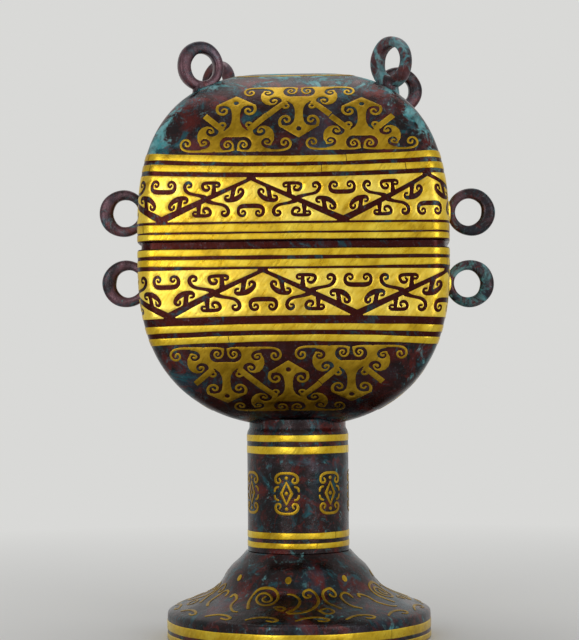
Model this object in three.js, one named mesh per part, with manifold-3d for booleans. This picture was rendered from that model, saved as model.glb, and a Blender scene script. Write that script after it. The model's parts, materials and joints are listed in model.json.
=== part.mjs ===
// Gilt bronze incense burner: a lidded oblong bowl on a round stem and a flared foot.
// Gold strips lie in grooves round the bowl, lid, stem and foot. Four rings stand on the lid's corners
// and two stick out from each end. Millimetres, +Z up, width along X, front towards -Y.
// The origin is the centre of the foot's flat underside.
import * as THREE from 'three';
import { mergeVertices } from 'three/addons/utils/BufferGeometryUtils.js';
import Module from 'manifold-3d';

const wasm = await Module();
wasm.setup();

// Oblong body shared by the bowl and the lid
const bodyWidth = 121.8;
const bodyDepth = 81;
const cornerRadius = 7;
const frontBulge = 1.6;
const endBulge = 1;
const sideFullness = 2.8;
const frontFullness = 4.2;
const frontRoundness = 2;

// Bowl
const bowlHeight = 69;
const bowlRoundness = 2.2;
const bowlWall = 3.5;
const rimWall = 5.6;
const rimWallDepth = 6;
const rimWallTaper = 8;
const ledgeInset = 1.6;
const ledgeHeight = 2.4;
const tongueHeight = 7;
const tongueWall = 2;

// Lid
const lidHeight = 69.5;
const lidRoundness = 2.4;
const lidWall = 3;
const lidSeatGap = 0.3;
const tongueClearance = 0.5;

// Stem
const stemRadius = 20.3;
const stemBore = 11.5;
const stemLength = 49;
const neckRadius = 19.2;
const neckRound = 2.4;
const neckKnee = 0.3;
const saddleDepth = 6;

// Foot
const footRadius = 52.4;
const footRimHeight = 11.2;
const footHeight = 34;
const footWall = 3;
const footSillWidth = 8;
const footCollarRadius = 20.9;
const spigotHeight = 7;

// Gold strips
const grooveDepth = 1;
const stripClearance = 0.15;
const seatGap = 0.3;

// Rings
const sideRingRadius = 9.7;
const sideRingHole = 5.1;
const sideRingThickness = 4.4;
const sideRingRoot = 5;
const topRingRadius = 10;
const topRingHole = 5.1;
const topRingThickness = 5;
const topRingSink = 1.2;
const topRingRootWidth = 4.6;
const ringEdge = 1.3;

// Strip rows: each row's gap from the edge of the row before, and its height. The rows start at the
// lid's rim going up, the bowl's rim going down, the stem's bottom going up, its neck going down
// and the foot's underside going up.
const lidGaps = [0.5, 0.7, 0.9, 1.8, 1.5];
const lidHeights = [2.2, 3, 17.2, 2.5, 2.5];
const bowlGaps = [0.5, 1.4, 1.1, 3.1, 1.8];
const bowlHeights = [2.5, 2.7, 17.9, 2.5, 2.5];
const stemFootGaps = [1.7, 1.6];
const stemFootHeights = [2.2, 2.5];
const stemNeckGaps = [2.8, 1.8];
const stemNeckHeights = [2.6, 2.9];
const footGaps = [0.5, 1.4];
const footHeights = [2.1, 3.4];

// Names of the rows, in the same order. A panel is a row wide enough to follow the body's curve.
const lidNames = [
  'lid_rim_gold_strip', 'lid_lower_gold_strip', 'lid_zigzag_gold_panel',
  'lid_middle_gold_strip', 'lid_upper_gold_strip',
];
const bowlNames = [
  'bowl_rim_gold_strip', 'bowl_upper_gold_strip', 'bowl_zigzag_gold_panel',
  'bowl_middle_gold_strip', 'bowl_lower_gold_strip',
];
const stemFootNames = ['stem_bottom_gold_strip', 'stem_lower_gold_strip'];
const stemNeckNames = ['stem_top_gold_strip', 'stem_upper_gold_strip'];
const footNames = ['foot_lower_gold_strip', 'foot_upper_gold_strip'];

// The foot's flare: how far out from the collar to the rim each point lies, and how far up from the rim
// to the stem, both as shares
const flare = [
  { out: 0.92, rise: 0.07 },
  { out: 0.71, rise: 0.18 },
  { out: 0.46, rise: 0.3 },
  { out: 0.33, rise: 0.42 },
  { out: 0.23, rise: 0.62 },
  { out: 0.16, rise: 0.82 },
];

// Fineness of the faceted surfaces
const cornerSteps = 3;
const faceSteps = 4;
const endSteps = 2;
const crownSteps = 7;
const panelSteps = 3;
const roundSteps = 28;
const ringSteps = 20;

// Levels that follow from the sizes
const stemBottom = footHeight + seatGap;
const neckHeight = footHeight + stemLength;
const bowlRimHeight = neckHeight + bowlHeight;
const lidRimHeight = bowlRimHeight + ledgeHeight + lidSeatGap;

// Ring places: side rings by their height over or under the rim and how far their middle lies outside the
// body, top rings by where they stand, as shares of the body's width and depth, by the turn of their hole
// about the vertical, by how tall they are for their width and how far their root lifts them
const sideRings = [
  { name: 'lid_left_ring', side: -1, height: 14.4, reach: 8.4, lid: true },
  { name: 'lid_right_ring', side: 1, height: 13.4, reach: 9.2, lid: true },
  { name: 'bowl_left_ring', side: -1, height: 11.2, reach: 7.4, lid: false },
  { name: 'bowl_right_ring', side: 1, height: 12.5, reach: 8.4, lid: false },
];
const topRings = [
  { name: 'lid_top_ring_front_left', x: -0.296, y: -0.265, turn: 22, tall: 1, lift: -0.6 },
  { name: 'lid_top_ring_front_right', x: 0.315, y: -0.235, turn: -44, tall: 1.05, lift: 1 },
  { name: 'lid_top_ring_back_left', x: -0.264, y: 0.241, turn: -46, tall: 0.9, lift: -1.4 },
  { name: 'lid_top_ring_back_right', x: 0.345, y: 0.228, turn: 12, tall: 0.97, lift: -0.6 },
];

const bronze = () => new THREE.MeshStandardMaterial({ color: 0x3a2320, roughness: 0.45, metalness: 0.85 });
const darkBronze = () => new THREE.MeshStandardMaterial({ color: 0x45313a, roughness: 0.5, metalness: 0.8 });
const gold = () => new THREE.MeshStandardMaterial({ color: 0xc9a227, roughness: 0.3, metalness: 1 });

// One turn round the oblong section: rounded corners and slightly bulging faces
function sectionOutline(halfWidth, halfDepth, corner) {
  const bend = halfWidth / (bodyWidth / 2);
  const cornerX = halfWidth - corner - endBulge * bend;
  const cornerY = halfDepth - corner - frontBulge * bend;
  const outline = [];
  for (let quarter = 0; quarter < 4; quarter += 1) {
    const signX = quarter === 0 || quarter === 3 ? 1 : -1;
    const signY = quarter < 2 ? 1 : -1;
    for (let step = 0; step <= cornerSteps; step += 1) {
      const angle = (quarter + step / cornerSteps) * Math.PI / 2;
      outline.push([signX * cornerX + corner * Math.cos(angle), signY * cornerY + corner * Math.sin(angle)]);
    }
    const alongFront = quarter % 2 === 0;
    const steps = alongFront ? faceSteps : endSteps;
    for (let step = 1; step < steps; step += 1) {
      const share = 1 - 2 * step / steps;
      const rise = 1 - share * share;
      if (alongFront) {
        outline.push([signY * share * cornerX, signY * (cornerY + corner + frontBulge * bend * rise)]);
      } else {
        outline.push([signX * (cornerX + corner + endBulge * bend * rise), -signX * share * cornerY]);
      }
    }
  }
  return outline;
}

// Half width and half depth of the crowned form, away from the rim, pulled in by an inset
function crownSize(distance, inset, { height, roundness }) {
  const share = Math.min(Math.max(distance / (height - inset), 0), 1);
  return {
    halfWidth: (bodyWidth / 2 - inset) * (1 - share ** sideFullness) ** (1 / roundness),
    halfDepth: (bodyDepth / 2 - inset) * (1 - share ** frontFullness) ** (1 / frontRoundness),
  };
}

// A level of the body: one outline at one height, or a pole where the form closes
function crownLevel(distance, inset, crown) {
  const z = crown.rim + crown.up * distance;
  if (distance >= crown.height - inset) {
    return [[0, 0, z]];
  }
  const { halfWidth, halfDepth } = crownSize(distance, inset, crown);
  const corner = Math.max(cornerRadius - inset, 1) * halfWidth / (bodyWidth / 2);
  return sectionOutline(halfWidth, halfDepth, corner).map(([x, y]) => [x, y, z]);
}

// Skin over a row of levels. A closed row is a ring, an open one starts and ends in a pole.
function loft(levels, closed) {
  const vertices = [];
  const starts = levels.map((level) => {
    const start = vertices.length / 3;
    level.forEach((point) => vertices.push(...point));
    return start;
  });
  const faces = [];
  const last = closed ? levels.length : levels.length - 1;
  for (let row = 0; row < last; row += 1) {
    const next = (row + 1) % levels.length;
    const count = Math.max(levels[row].length, levels[next].length);
    for (let step = 0; step < count; step += 1) {
      const after = (step + 1) % count;
      const a = starts[row] + step % levels[row].length;
      const b = starts[row] + after % levels[row].length;
      const c = starts[next] + after % levels[next].length;
      const d = starts[next] + step % levels[next].length;
      if (a !== b) {
        faces.push(a, b, c);
      }
      if (c !== d) {
        faces.push(a, c, d);
      }
    }
  }
  const geometry = new THREE.BufferGeometry();
  geometry.setAttribute('position', new THREE.Float32BufferAttribute(vertices, 3));
  geometry.setIndex(faces);
  return geometry;
}

// Turned form: a profile of [radius, z] points that runs up its outside. It closes on itself, or starts
// and ends on the axis.
function turned(profile, steps = roundSteps) {
  const levels = profile.map(([radius, z]) => {
    if (radius === 0) {
      return [[0, 0, z]];
    }
    const level = [];
    for (let step = 0; step < steps; step += 1) {
      const angle = step / steps * Math.PI * 2;
      level.push([radius * Math.cos(angle), radius * Math.sin(angle), z]);
    }
    return level;
  });
  return loft(levels, profile[0][0] > 0);
}

function toManifold(geometry) {
  const bare = geometry.clone();
  bare.deleteAttribute('normal');
  bare.deleteAttribute('uv');
  const merged = mergeVertices(bare, 1e-4);
  return new wasm.Manifold(new wasm.Mesh({
    numProp: 3,
    vertProperties: new Float32Array(merged.attributes.position.array),
    triVerts: new Uint32Array(merged.index.array),
  }));
}

function toGeometry(solid) {
  const mesh = solid.getMesh();
  const geometry = new THREE.BufferGeometry();
  geometry.setAttribute('position', new THREE.BufferAttribute(mesh.vertProperties, 3));
  geometry.setIndex(new THREE.BufferAttribute(mesh.triVerts, 1));
  return geometry;
}

// Where each strip of a row starts and ends, measured away from the row's first edge
function stripSpans(names, gaps, heights) {
  let edge = 0;
  return names.map((name, index) => {
    const from = edge + gaps[index];
    const to = from + heights[index];
    edge = to;
    return { name, from, to, panel: name.endsWith('panel') };
  });
}

// Distances from the rim out to the pole, closer together where the form curves most
function crownDistances(from, height) {
  const distances = [];
  for (let step = 1; step <= crownSteps; step += 1) {
    const share = Math.sin(step / crownSteps * Math.PI / 2);
    distances.push(from + (height - from) * share);
  }
  return distances;
}

function lastEdge(strips) {
  return strips[strips.length - 1].to + stripClearance;
}

// Outside of a crowned shell from its rim to its pole, with a groove for each strip
function groovedSide(strips, crown) {
  const levels = [crownLevel(0, 0, crown)];
  strips.forEach(({ from, to, panel }) => {
    const start = from - stripClearance;
    const end = to + stripClearance;
    const steps = panel ? panelSteps : 1;
    levels.push(crownLevel(start, 0, crown));
    for (let step = 0; step <= steps; step += 1) {
      levels.push(crownLevel(start + (end - start) * step / steps, grooveDepth, crown));
    }
    levels.push(crownLevel(end, 0, crown));
  });
  crownDistances(lastEdge(strips), crown.height).forEach((distance) => {
    levels.push(crownLevel(distance, 0, crown));
  });
  return levels;
}

// Inside of a crowned shell from its rim to its pole
function innerSide(from, wall, crown) {
  return crownDistances(from, crown.height - wall).map((distance) => crownLevel(distance, wall, crown));
}

// A strip round the body, flush with it and clear of its groove
function crownStrip({ from, to, panel }, crown) {
  const steps = panel ? panelSteps : 1;
  const depth = grooveDepth - stripClearance;
  const levels = [];
  for (let step = 0; step <= steps; step += 1) {
    levels.push(crownLevel(from + (to - from) * step / steps, 0, crown));
  }
  for (let step = steps; step >= 0; step -= 1) {
    levels.push(crownLevel(from + (to - from) * step / steps, depth, crown));
  }
  return loft(crown.up > 0 ? levels : levels.reverse(), true);
}

// Where the strips of a turned surface lie, from the bottom up
function roundSpans(strips, base, up) {
  const spans = strips.map(({ name, from, to }) => ({
    name,
    low: up > 0 ? base + from : base - to,
    high: up > 0 ? base + to : base - from,
  }));
  return up > 0 ? spans : spans.reverse();
}

// A strip round a turned surface, flush with it and clear of its groove
function roundStrip({ low, high }, radius) {
  const inner = radius - grooveDepth + stripClearance;
  return turned([[radius, low], [radius, high], [inner, high], [inner, low]]);
}

// Profile points of the grooves in a turned surface, from the bottom up
function roundGrooves(spans, radius) {
  return spans.flatMap(({ low, high }) => [
    [radius, low - stripClearance],
    [radius - grooveDepth, low - stripClearance],
    [radius - grooveDepth, high + stripClearance],
    [radius, high + stripClearance],
  ]);
}

// The plain outer form of the bowl or lid, closed over its rim, for seating other pieces on it.
// It has the levels of the real piece, so that its flat facets lie along the same planes.
function bodyForm(inset, crown) {
  const rim = crownLevel(0, inset, crown);
  const levels = [[[0, 0, crown.rim]], rim];
  crown.rows.forEach(({ from, to, panel }) => {
    const steps = panel ? panelSteps : 1;
    for (let step = 0; step <= steps; step += 1) {
      levels.push(crownLevel(from + (to - from) * step / steps, inset, crown));
    }
  });
  crownDistances(lastEdge(crown.rows), crown.height - inset).forEach((distance) => {
    levels.push(crownLevel(distance, inset, crown));
  });
  return toManifold(loft(crown.up > 0 ? levels : levels.reverse(), false));
}

const bowlCrown = {
  rim: bowlRimHeight,
  up: -1,
  height: bowlHeight,
  roundness: bowlRoundness,
  rows: stripSpans(bowlNames, bowlGaps, bowlHeights),
};
const lidCrown = {
  rim: lidRimHeight,
  up: 1,
  height: lidHeight,
  roundness: lidRoundness,
  rows: stripSpans(lidNames, lidGaps, lidHeights),
};
const stemRows = [
  ...roundSpans(stripSpans(stemFootNames, stemFootGaps, stemFootHeights), stemBottom, 1),
  ...roundSpans(stripSpans(stemNeckNames, stemNeckGaps, stemNeckHeights), neckHeight, -1),
];
const footRows = roundSpans(stripSpans(footNames, footGaps, footHeights), 0, 1);

// Bowl: grooved outside, a ledge that carries the lid, a tongue that reaches into it, hollow inside
function bowlGeometry() {
  const tongueInset = lidWall + tongueClearance;
  const innerInset = Math.max(rimWall, tongueInset + tongueWall);
  const rim = [
    [0, ledgeInset],
    [-ledgeHeight, ledgeInset],
    [-ledgeHeight, tongueInset],
    [-tongueHeight, tongueInset],
    [-tongueHeight, innerInset],
    [rimWallDepth, innerInset],
    [rimWallDepth + rimWallTaper, bowlWall],
  ].map(([distance, inset]) => crownLevel(distance, inset, bowlCrown));
  const outside = groovedSide(bowlCrown.rows, bowlCrown).reverse();
  const inside = innerSide(rimWallDepth + rimWallTaper, bowlWall, bowlCrown);
  return loft([...outside, ...rim, ...inside], false);
}

// Lid: the same crowned form turned up, with a flat rim and an open hollow inside
function lidGeometry() {
  const outside = groovedSide(lidCrown.rows, lidCrown);
  const underside = crownLevel(0, lidWall, lidCrown);
  const inside = innerSide(0, lidWall, lidCrown);
  return loft([...outside.reverse(), underside, ...inside].reverse(), false);
}

// Stem: a tube with four grooves, drawn in at the neck, its top hollowed to the bowl's underside
function stemGeometry() {
  const profile = [
    [stemRadius, stemBottom],
    ...roundGrooves(stemRows, stemRadius),
    [stemRadius, neckHeight - neckRound],
    [(stemRadius + neckRadius) / 2, neckHeight - neckRound * neckKnee],
    [neckRadius, neckHeight],
    [neckRadius, neckHeight + saddleDepth],
    [stemBore, neckHeight + saddleDepth],
    [stemBore, stemBottom],
  ];
  return toGeometry(toManifold(turned(profile)).subtract(bodyForm(-seatGap, bowlCrown)));
}

// Foot: a grooved rim, a flare up to the stem and a plug that stands inside the stem's bore. It is
// hollow underneath.
function footGeometry() {
  const side = flare.map(({ out, rise }) => [
    footCollarRadius + (footRadius - footCollarRadius) * out,
    footRimHeight + (footHeight - footRimHeight) * rise,
  ]);
  const underside = side.map(([radius, z]) => [radius - footWall, z - footWall]);
  const spigotRadius = stemBore - seatGap;
  const profile = [
    [0, footHeight - footWall],
    ...underside.reverse(),
    [footRadius - footSillWidth, 0],
    [footRadius, 0],
    ...roundGrooves(footRows, footRadius),
    [footRadius, footRimHeight],
    ...side,
    [footCollarRadius, footHeight],
    [spigotRadius, footHeight],
    [spigotRadius, footHeight + spigotHeight],
    [0, footHeight + spigotHeight],
  ];
  return turned(profile);
}

// A cast ring: a round-edged band turned about its own hole, which runs along Z
function ringGeometry(radius, hole, thickness) {
  const half = thickness / 2;
  const profile = [
    [radius, -half + ringEdge],
    [radius, half - ringEdge],
    [radius - ringEdge, half],
    [hole + ringEdge, half],
    [hole, 0],
    [hole + ringEdge, -half],
    [radius - ringEdge, -half],
  ];
  return turned(profile, ringSteps);
}

// The root that carries a side ring goes through the gold panel down to the bronze behind it
function sideRootGeometry({ side, reach }, growth) {
  const inner = bodyWidth / 2 - grooveDepth - seatGap;
  const outer = bodyWidth / 2 + reach - sideRingHole - ringEdge;
  const root = sideRingRoot + 2 * growth;
  const thick = sideRingThickness - 2 * ringEdge + 2 * growth;
  const block = new THREE.BoxGeometry(outer - inner, thick, root);
  block.translate(side * (inner + outer) / 2, 0, 0);
  return block;
}

function sideRingPlace({ height, lid }) {
  return lid ? lidRimHeight + height : bowlRimHeight - height;
}

function sideRingSolid(ring) {
  const band = ringGeometry(sideRingRadius, sideRingHole, sideRingThickness);
  band.rotateX(Math.PI / 2);
  band.translate(ring.side * (bodyWidth / 2 + ring.reach), 0, sideRingPlace(ring));
  const root = sideRootGeometry(ring, 0);
  root.translate(0, 0, sideRingPlace(ring));
  const crown = ring.lid ? lidCrown : bowlCrown;
  const trimmed = toManifold(band).subtract(bodyForm(-seatGap, crown));
  const rooted = toManifold(root).subtract(bodyForm(grooveDepth - seatGap, crown));
  return toGeometry(trimmed.add(rooted));
}

// A gold panel with an opening for the root of each side ring that stands on it
function panelGeometry(row, crown, rings) {
  let solid = toManifold(crownStrip(row, crown));
  rings.forEach((ring) => {
    const opening = sideRootGeometry(ring, seatGap);
    opening.translate(0, 0, sideRingPlace(ring));
    solid = solid.subtract(toManifold(opening));
  });
  return toGeometry(solid);
}

// Height of the lid's outside over a point of its plan, by halving the span it must lie in
function lidSurface(x, y) {
  let low = 0;
  let high = lidHeight;
  for (let turn = 0; turn < 24; turn += 1) {
    const middle = (low + high) / 2;
    const { halfWidth, halfDepth } = crownSize(middle, 0, lidCrown);
    const corner = cornerRadius * halfWidth / (bodyWidth / 2);
    const pastX = Math.max(Math.abs(x) - (halfWidth - corner), 0);
    const pastY = Math.max(Math.abs(y) - (halfDepth - corner), 0);
    if (Math.hypot(pastX, pastY) < corner) {
      low = middle;
    } else {
      high = middle;
    }
  }
  return lidRimHeight + low;
}

function topRingSolid({ x: shareX, y: shareY, turn, tall, lift }) {
  const x = shareX * bodyWidth;
  const y = shareY * bodyDepth;
  const surface = lidSurface(x, y);
  const middle = surface + topRingRadius * tall - topRingSink + lift;
  const band = ringGeometry(topRingRadius, topRingHole, topRingThickness);
  band.rotateX(Math.PI / 2);
  band.scale(1, 1, tall);
  const rootTop = middle - topRingHole * tall - ringEdge;
  const rootBottom = surface - topRingSink - lift;
  const root = new THREE.BoxGeometry(topRingRootWidth, topRingThickness - ringEdge, rootTop - rootBottom);
  root.translate(0, 0, (rootTop + rootBottom) / 2 - middle);
  const placed = [band, root].map((piece) => {
    piece.rotateZ(THREE.MathUtils.degToRad(turn));
    piece.translate(x, y, middle);
    return toManifold(piece);
  });
  return toGeometry(placed[0].add(placed[1]).subtract(bodyForm(-seatGap, lidCrown)));
}

const burner = new THREE.Group();

function addPiece(name, geometry, material) {
  const mesh = new THREE.Mesh(geometry, material);
  mesh.name = name;
  burner.add(mesh);
}

addPiece('foot', footGeometry(), bronze());
addPiece('stem', stemGeometry(), bronze());
addPiece('bowl', bowlGeometry(), bronze());
addPiece('lid', lidGeometry(), bronze());
footRows.forEach((row) => addPiece(row.name, roundStrip(row, footRadius), gold()));
stemRows.forEach((row) => addPiece(row.name, roundStrip(row, stemRadius), gold()));
[bowlCrown, lidCrown].forEach((crown) => crown.rows.forEach((row) => {
  const rings = sideRings.filter((ring) => ring.lid === (crown === lidCrown));
  addPiece(row.name, row.panel ? panelGeometry(row, crown, rings) : crownStrip(row, crown), gold());
}));
sideRings.forEach((ring) => addPiece(ring.name, sideRingSolid(ring), darkBronze()));
topRings.forEach((ring) => addPiece(ring.name, topRingSolid(ring), darkBronze()));

export default burner;
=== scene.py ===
# %% [markdown]
# # A gilt bronze incense burner
#
# An oblong lidded bowl stands on a round stem and a flared foot. Gold strips run round it in flat bands,
# a wide band on the lid and one on the bowl hold a zigzag of scrolls, and scrolled T figures fill the
# shoulders. Every ornament here is flat work laid on a curved wall, so the script draws each ornament
# flat, in millimetres, and then wraps it round the wall it belongs to.

# %% Load the frame
import json
import math

import bpy
import numpy as np
from mathutils import Matrix, Vector
from mathutils.geometry import delaunay_2d_cdt

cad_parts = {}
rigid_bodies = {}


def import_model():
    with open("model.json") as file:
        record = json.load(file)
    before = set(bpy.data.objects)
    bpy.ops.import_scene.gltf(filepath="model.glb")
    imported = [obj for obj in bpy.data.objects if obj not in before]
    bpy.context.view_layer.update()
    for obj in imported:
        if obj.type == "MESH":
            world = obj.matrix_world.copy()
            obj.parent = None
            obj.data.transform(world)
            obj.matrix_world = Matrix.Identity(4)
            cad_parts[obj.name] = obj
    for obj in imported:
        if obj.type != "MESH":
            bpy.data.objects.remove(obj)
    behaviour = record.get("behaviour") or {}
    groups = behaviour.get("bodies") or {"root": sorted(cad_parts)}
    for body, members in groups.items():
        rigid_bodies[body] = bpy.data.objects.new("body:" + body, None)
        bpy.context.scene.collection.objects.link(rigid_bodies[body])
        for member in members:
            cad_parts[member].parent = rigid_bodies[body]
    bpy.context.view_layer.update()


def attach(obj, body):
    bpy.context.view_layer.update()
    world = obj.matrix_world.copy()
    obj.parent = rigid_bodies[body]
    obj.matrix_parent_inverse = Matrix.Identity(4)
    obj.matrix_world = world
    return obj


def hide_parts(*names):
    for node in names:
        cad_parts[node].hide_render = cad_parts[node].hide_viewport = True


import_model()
scene = bpy.context.scene
scene.view_settings.view_transform = "Standard"
MM = 0.001

# %% [markdown]
# The camera stands where the photographer stood: 730 mm from the stem's axis, a little under half the
# height of the burner, turned 2 degrees to one side and tipped up slightly. A long lens keeps the
# sides nearly parallel.

# %% Camera
CAMERA_DISTANCE = 730
CAMERA_HEIGHT = 103.6
CAMERA_TURN = math.radians(2)
CAMERA_TIP = math.radians(1.73)
CAMERA_ROLL = math.radians(0.5)
LENS = 102.66
SIDE_SHIFT = -0.0111  # as a share of the picture's width

camera = bpy.data.objects.new("camera", bpy.data.cameras.new("camera"))
camera.data.lens = LENS
camera.data.sensor_width = 36
camera.data.clip_start = 0.01
camera.data.clip_end = 30
camera.data.shift_x = SIDE_SHIFT
camera.location = (
    CAMERA_DISTANCE * MM * math.sin(CAMERA_TURN),
    -CAMERA_DISTANCE * MM * math.cos(CAMERA_TURN),
    CAMERA_HEIGHT * MM,
)
turned = Matrix.Rotation(CAMERA_TURN, 4, "Z")
tipped = Matrix.Rotation(math.pi / 2 + CAMERA_TIP, 4, "X")
rolled = Matrix.Rotation(-CAMERA_ROLL, 4, "Z")
camera.rotation_mode = "QUATERNION"
camera.rotation_quaternion = (turned @ tipped @ rolled).to_quaternion()
scene.collection.objects.link(camera)
scene.camera = camera
print("camera at", [round(value, 3) for value in camera.location])

# %% [markdown]
# Two small helpers serve every finish. One turns a colour from the form it is written in, sRGB hex,
# into the linear numbers that a shader needs. The other adds one node with its settings and links.

# %% Colour and node helpers
def linear(code):
    """The linear RGBA of a colour written as sRGB hex."""
    channels = [int(code[start:start + 2], 16) / 255 for start in (1, 3, 5)]
    return [c / 12.92 if c <= 0.04045 else ((c + 0.055) / 1.055) ** 2.4 for c in channels] + [1.0]


def node(tree, kind, inputs=None, **settings):
    """Adds one node, sets it up, and fills or links its inputs."""
    made = tree.nodes.new(kind)
    for name, value in settings.items():
        setattr(made, name, value)
    for key, value in (inputs or {}).items():
        if isinstance(value, bpy.types.NodeSocket):
            tree.links.new(value, made.inputs[key])
        else:
            made.inputs[key].default_value = value
    return made


print("mid grey is", [round(value, 3) for value in linear("#808080")[:3]])

# %% [markdown]
# The burner's sizes, in millimetres, are those of its CAD model. The bowl and the lid share one
# oblong section that shrinks from the rim to a closed crown.

# %% Sizes of the body
HALF_WIDTH = 60.9
HALF_DEPTH = 40.5
CORNER = 7
FRONT_BULGE = 1.6
END_BULGE = 1.0
SIDE_FULLNESS = 2.8
FRONT_FULLNESS = 4.2
BOWL_ROUNDNESS = 2.2
LID_ROUNDNESS = 2.4
BOWL_HEIGHT = 69
BOWL_RIM = 152
LID_HEIGHT = 69.5
LID_RIM = 154.7
SUNK = 0.16  # how far the bronze lies below the face of the gold


def rim_outline():
    """The section at the rim, once round anticlockwise from the middle of the front, evenly spaced."""
    reach_x = HALF_WIDTH - CORNER - END_BULGE
    reach_y = HALF_DEPTH - CORNER - FRONT_BULGE
    along = np.linspace(-1, 1, 200)[:-1]
    turn = np.linspace(0, math.pi / 2, 60)[:-1]
    front = np.c_[along * reach_x, -(reach_y + CORNER + FRONT_BULGE * (1 - along**2))]
    right = np.c_[reach_x + CORNER + END_BULGE * (1 - along**2), along * reach_y]
    corner_a = np.c_[reach_x + CORNER * np.sin(turn), -reach_y - CORNER * np.cos(turn)]
    corner_b = np.c_[reach_x + CORNER * np.cos(turn), reach_y + CORNER * np.sin(turn)]
    half = np.r_[front, corner_a, right, corner_b]
    whole = np.r_[half, -half]
    start = len(along) // 2
    return even_spacing(np.roll(whole, -start, axis=0), 900)


def even_spacing(points, count):
    """The same closed line, cut into equal steps."""
    closed = np.r_[points, points[:1]]
    length = np.r_[0, np.cumsum(np.linalg.norm(np.diff(closed, axis=0), axis=1))]
    steps = np.linspace(0, length[-1], count + 1)[:-1]
    return np.c_[np.interp(steps, length, closed[:, 0]), np.interp(steps, length, closed[:, 1])]


OUTLINE = rim_outline()
print("rim outline of", len(OUTLINE), "points, front to back",
      round(float(np.ptp(OUTLINE[:, 1])), 1), "mm")

# %% [markdown]
# A wall is described by two lines: its girth, seen from above, and its upright line, which says how
# much of the girth is left at each height. A point of the wall is the product of the two, so flat
# work of any kind can be laid on the wall by sampling both lines. Both are curve objects, because
# Geometry Nodes can measure along a curve.

# %% Walls
def curve_object(name, points, cyclic):
    """A straight-sided curve through points, to be measured along and never rendered."""
    data = bpy.data.curves.new(name, "CURVE")
    data.dimensions = "3D"
    line = data.splines.new("POLY")
    line.points.add(len(points) - 1)
    line.points.foreach_set("co", np.c_[points, np.ones(len(points))].astype(np.float32).ravel())
    line.use_cyclic_u = cyclic
    made = bpy.data.objects.new(name, data)
    scene.collection.objects.link(made)
    return made


class Wall:
    """A curved wall to lay flat work on. Levels and arcs are in millimetres and rise with height."""

    def __init__(self, name, girth, levels, share_x, share_y, heights, front):
        self.girth_line = np.r_[girth, girth[:1]]
        self.around = np.r_[0, np.cumsum(np.linalg.norm(np.diff(self.girth_line, axis=0), axis=1))]
        self.girth_length = self.around[-1]
        self.levels = levels
        self.share_x = share_x
        self.share_y = share_y
        upright = np.c_[share_x, share_y, heights * MM]
        self.lengths = np.r_[0, np.cumsum(np.linalg.norm(np.diff(upright, axis=0), axis=1))]
        steps = np.hypot(np.diff(heights), np.diff(share_y) * front)
        arcs = np.r_[0, np.cumsum(steps)]
        self.arcs = arcs - np.interp(0, levels, arcs)
        self.girth = curve_object(name + "_girth", np.c_[girth * MM, np.ones(len(girth))], True)
        self.upright = curve_object(name + "_upright", upright, False)

    def length_at(self, level):
        """How far along the upright line a level lies, in that line's own measure."""
        return np.interp(level, self.levels, self.lengths)

    def level_at(self, arc):
        """The level at a length measured on the wall from its rim."""
        return np.interp(arc, self.arcs, self.levels)

    def girth_at(self, across, level, end=False):
        """How far round the girth, from the middle of the front or the right end, a point lies that is
        this far across that side at this level."""
        axis = 1 if end else 0
        quarter = len(self.around) // 4
        start = quarter if end else 0
        whole = len(self.around) - 1
        steps = np.arange(start - quarter + 2, start + quarter - 1)
        places = self.girth_line[steps % whole, axis]
        rounds = self.around[steps % whole] + (steps // whole) * self.girth_length - self.around[start]
        share = np.interp(level, self.levels, self.share_y if end else self.share_x)
        return np.interp(across / np.maximum(share, 0.05), places, rounds)


def crown_wall(name, rim, up, height, roundness):
    """The wall of the bowl or the lid, from past its rim, over its crown and on down its own axis."""
    share = 1 - (1 - np.linspace(0, 1, 260)) ** 2
    beyond = np.array([-9.0, -4.0])
    inward = np.array([2.0, 8.0])
    distance = np.r_[beyond, share * height, height + inward]
    inside = np.clip(distance / height, 0, 1)
    share_x = (1 - inside**SIDE_FULLNESS) ** (1 / roundness)
    share_y = np.sqrt(1 - inside**FRONT_FULLNESS)
    heights = rim + up * np.where(distance > height, 2 * height - distance, distance)
    order = slice(None) if up > 0 else slice(None, None, -1)
    levels = (up * distance)[order]
    return Wall(name, OUTLINE, levels, share_x[order], share_y[order], heights[order], HALF_DEPTH)


lid_wall = crown_wall("lid_wall", LID_RIM, 1, LID_HEIGHT, LID_ROUNDNESS)
bowl_wall = crown_wall("bowl_wall", BOWL_RIM, -1, BOWL_HEIGHT, BOWL_ROUNDNESS)
print("girth at the rim:", round(lid_wall.girth_length, 1), "mm")

# %% [markdown]
# The stem and the foot are turned, so their girth is a circle and their upright line is the turning
# profile divided by that circle's radius.

# %% Turned walls
STEM_RADIUS = 20.3
STEM_BOTTOM = 34.3
FOOT_RADIUS = 52.4
FOOT_FLARE = [
    (52.25, 0), (52.25, 9.6), (52.0, 10.6), (51.2, 11.3), (49.4, 12.2), (46.2, 13.6), (42.6, 15),
    (38.8, 16.5), (35.2, 18.2), (32.6, 20), (30.9, 22), (29.4, 24.4), (28, 26.6), (26.6, 28.4),
    (25, 29.8), (23.4, 31.2), (21.9, 32.8), (20.9, 34),
]


def smooth_line(points, rounds=3):
    """Cuts the corners of an open line, keeping its ends."""
    line = np.array(points, float)
    for _ in range(rounds):
        early = line[:-1] * 0.75 + line[1:] * 0.25
        late = line[:-1] * 0.25 + line[1:] * 0.75
        line = np.r_[line[:1], np.c_[early, late].reshape(-1, line.shape[1]), line[-1:]]
    return line


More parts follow.
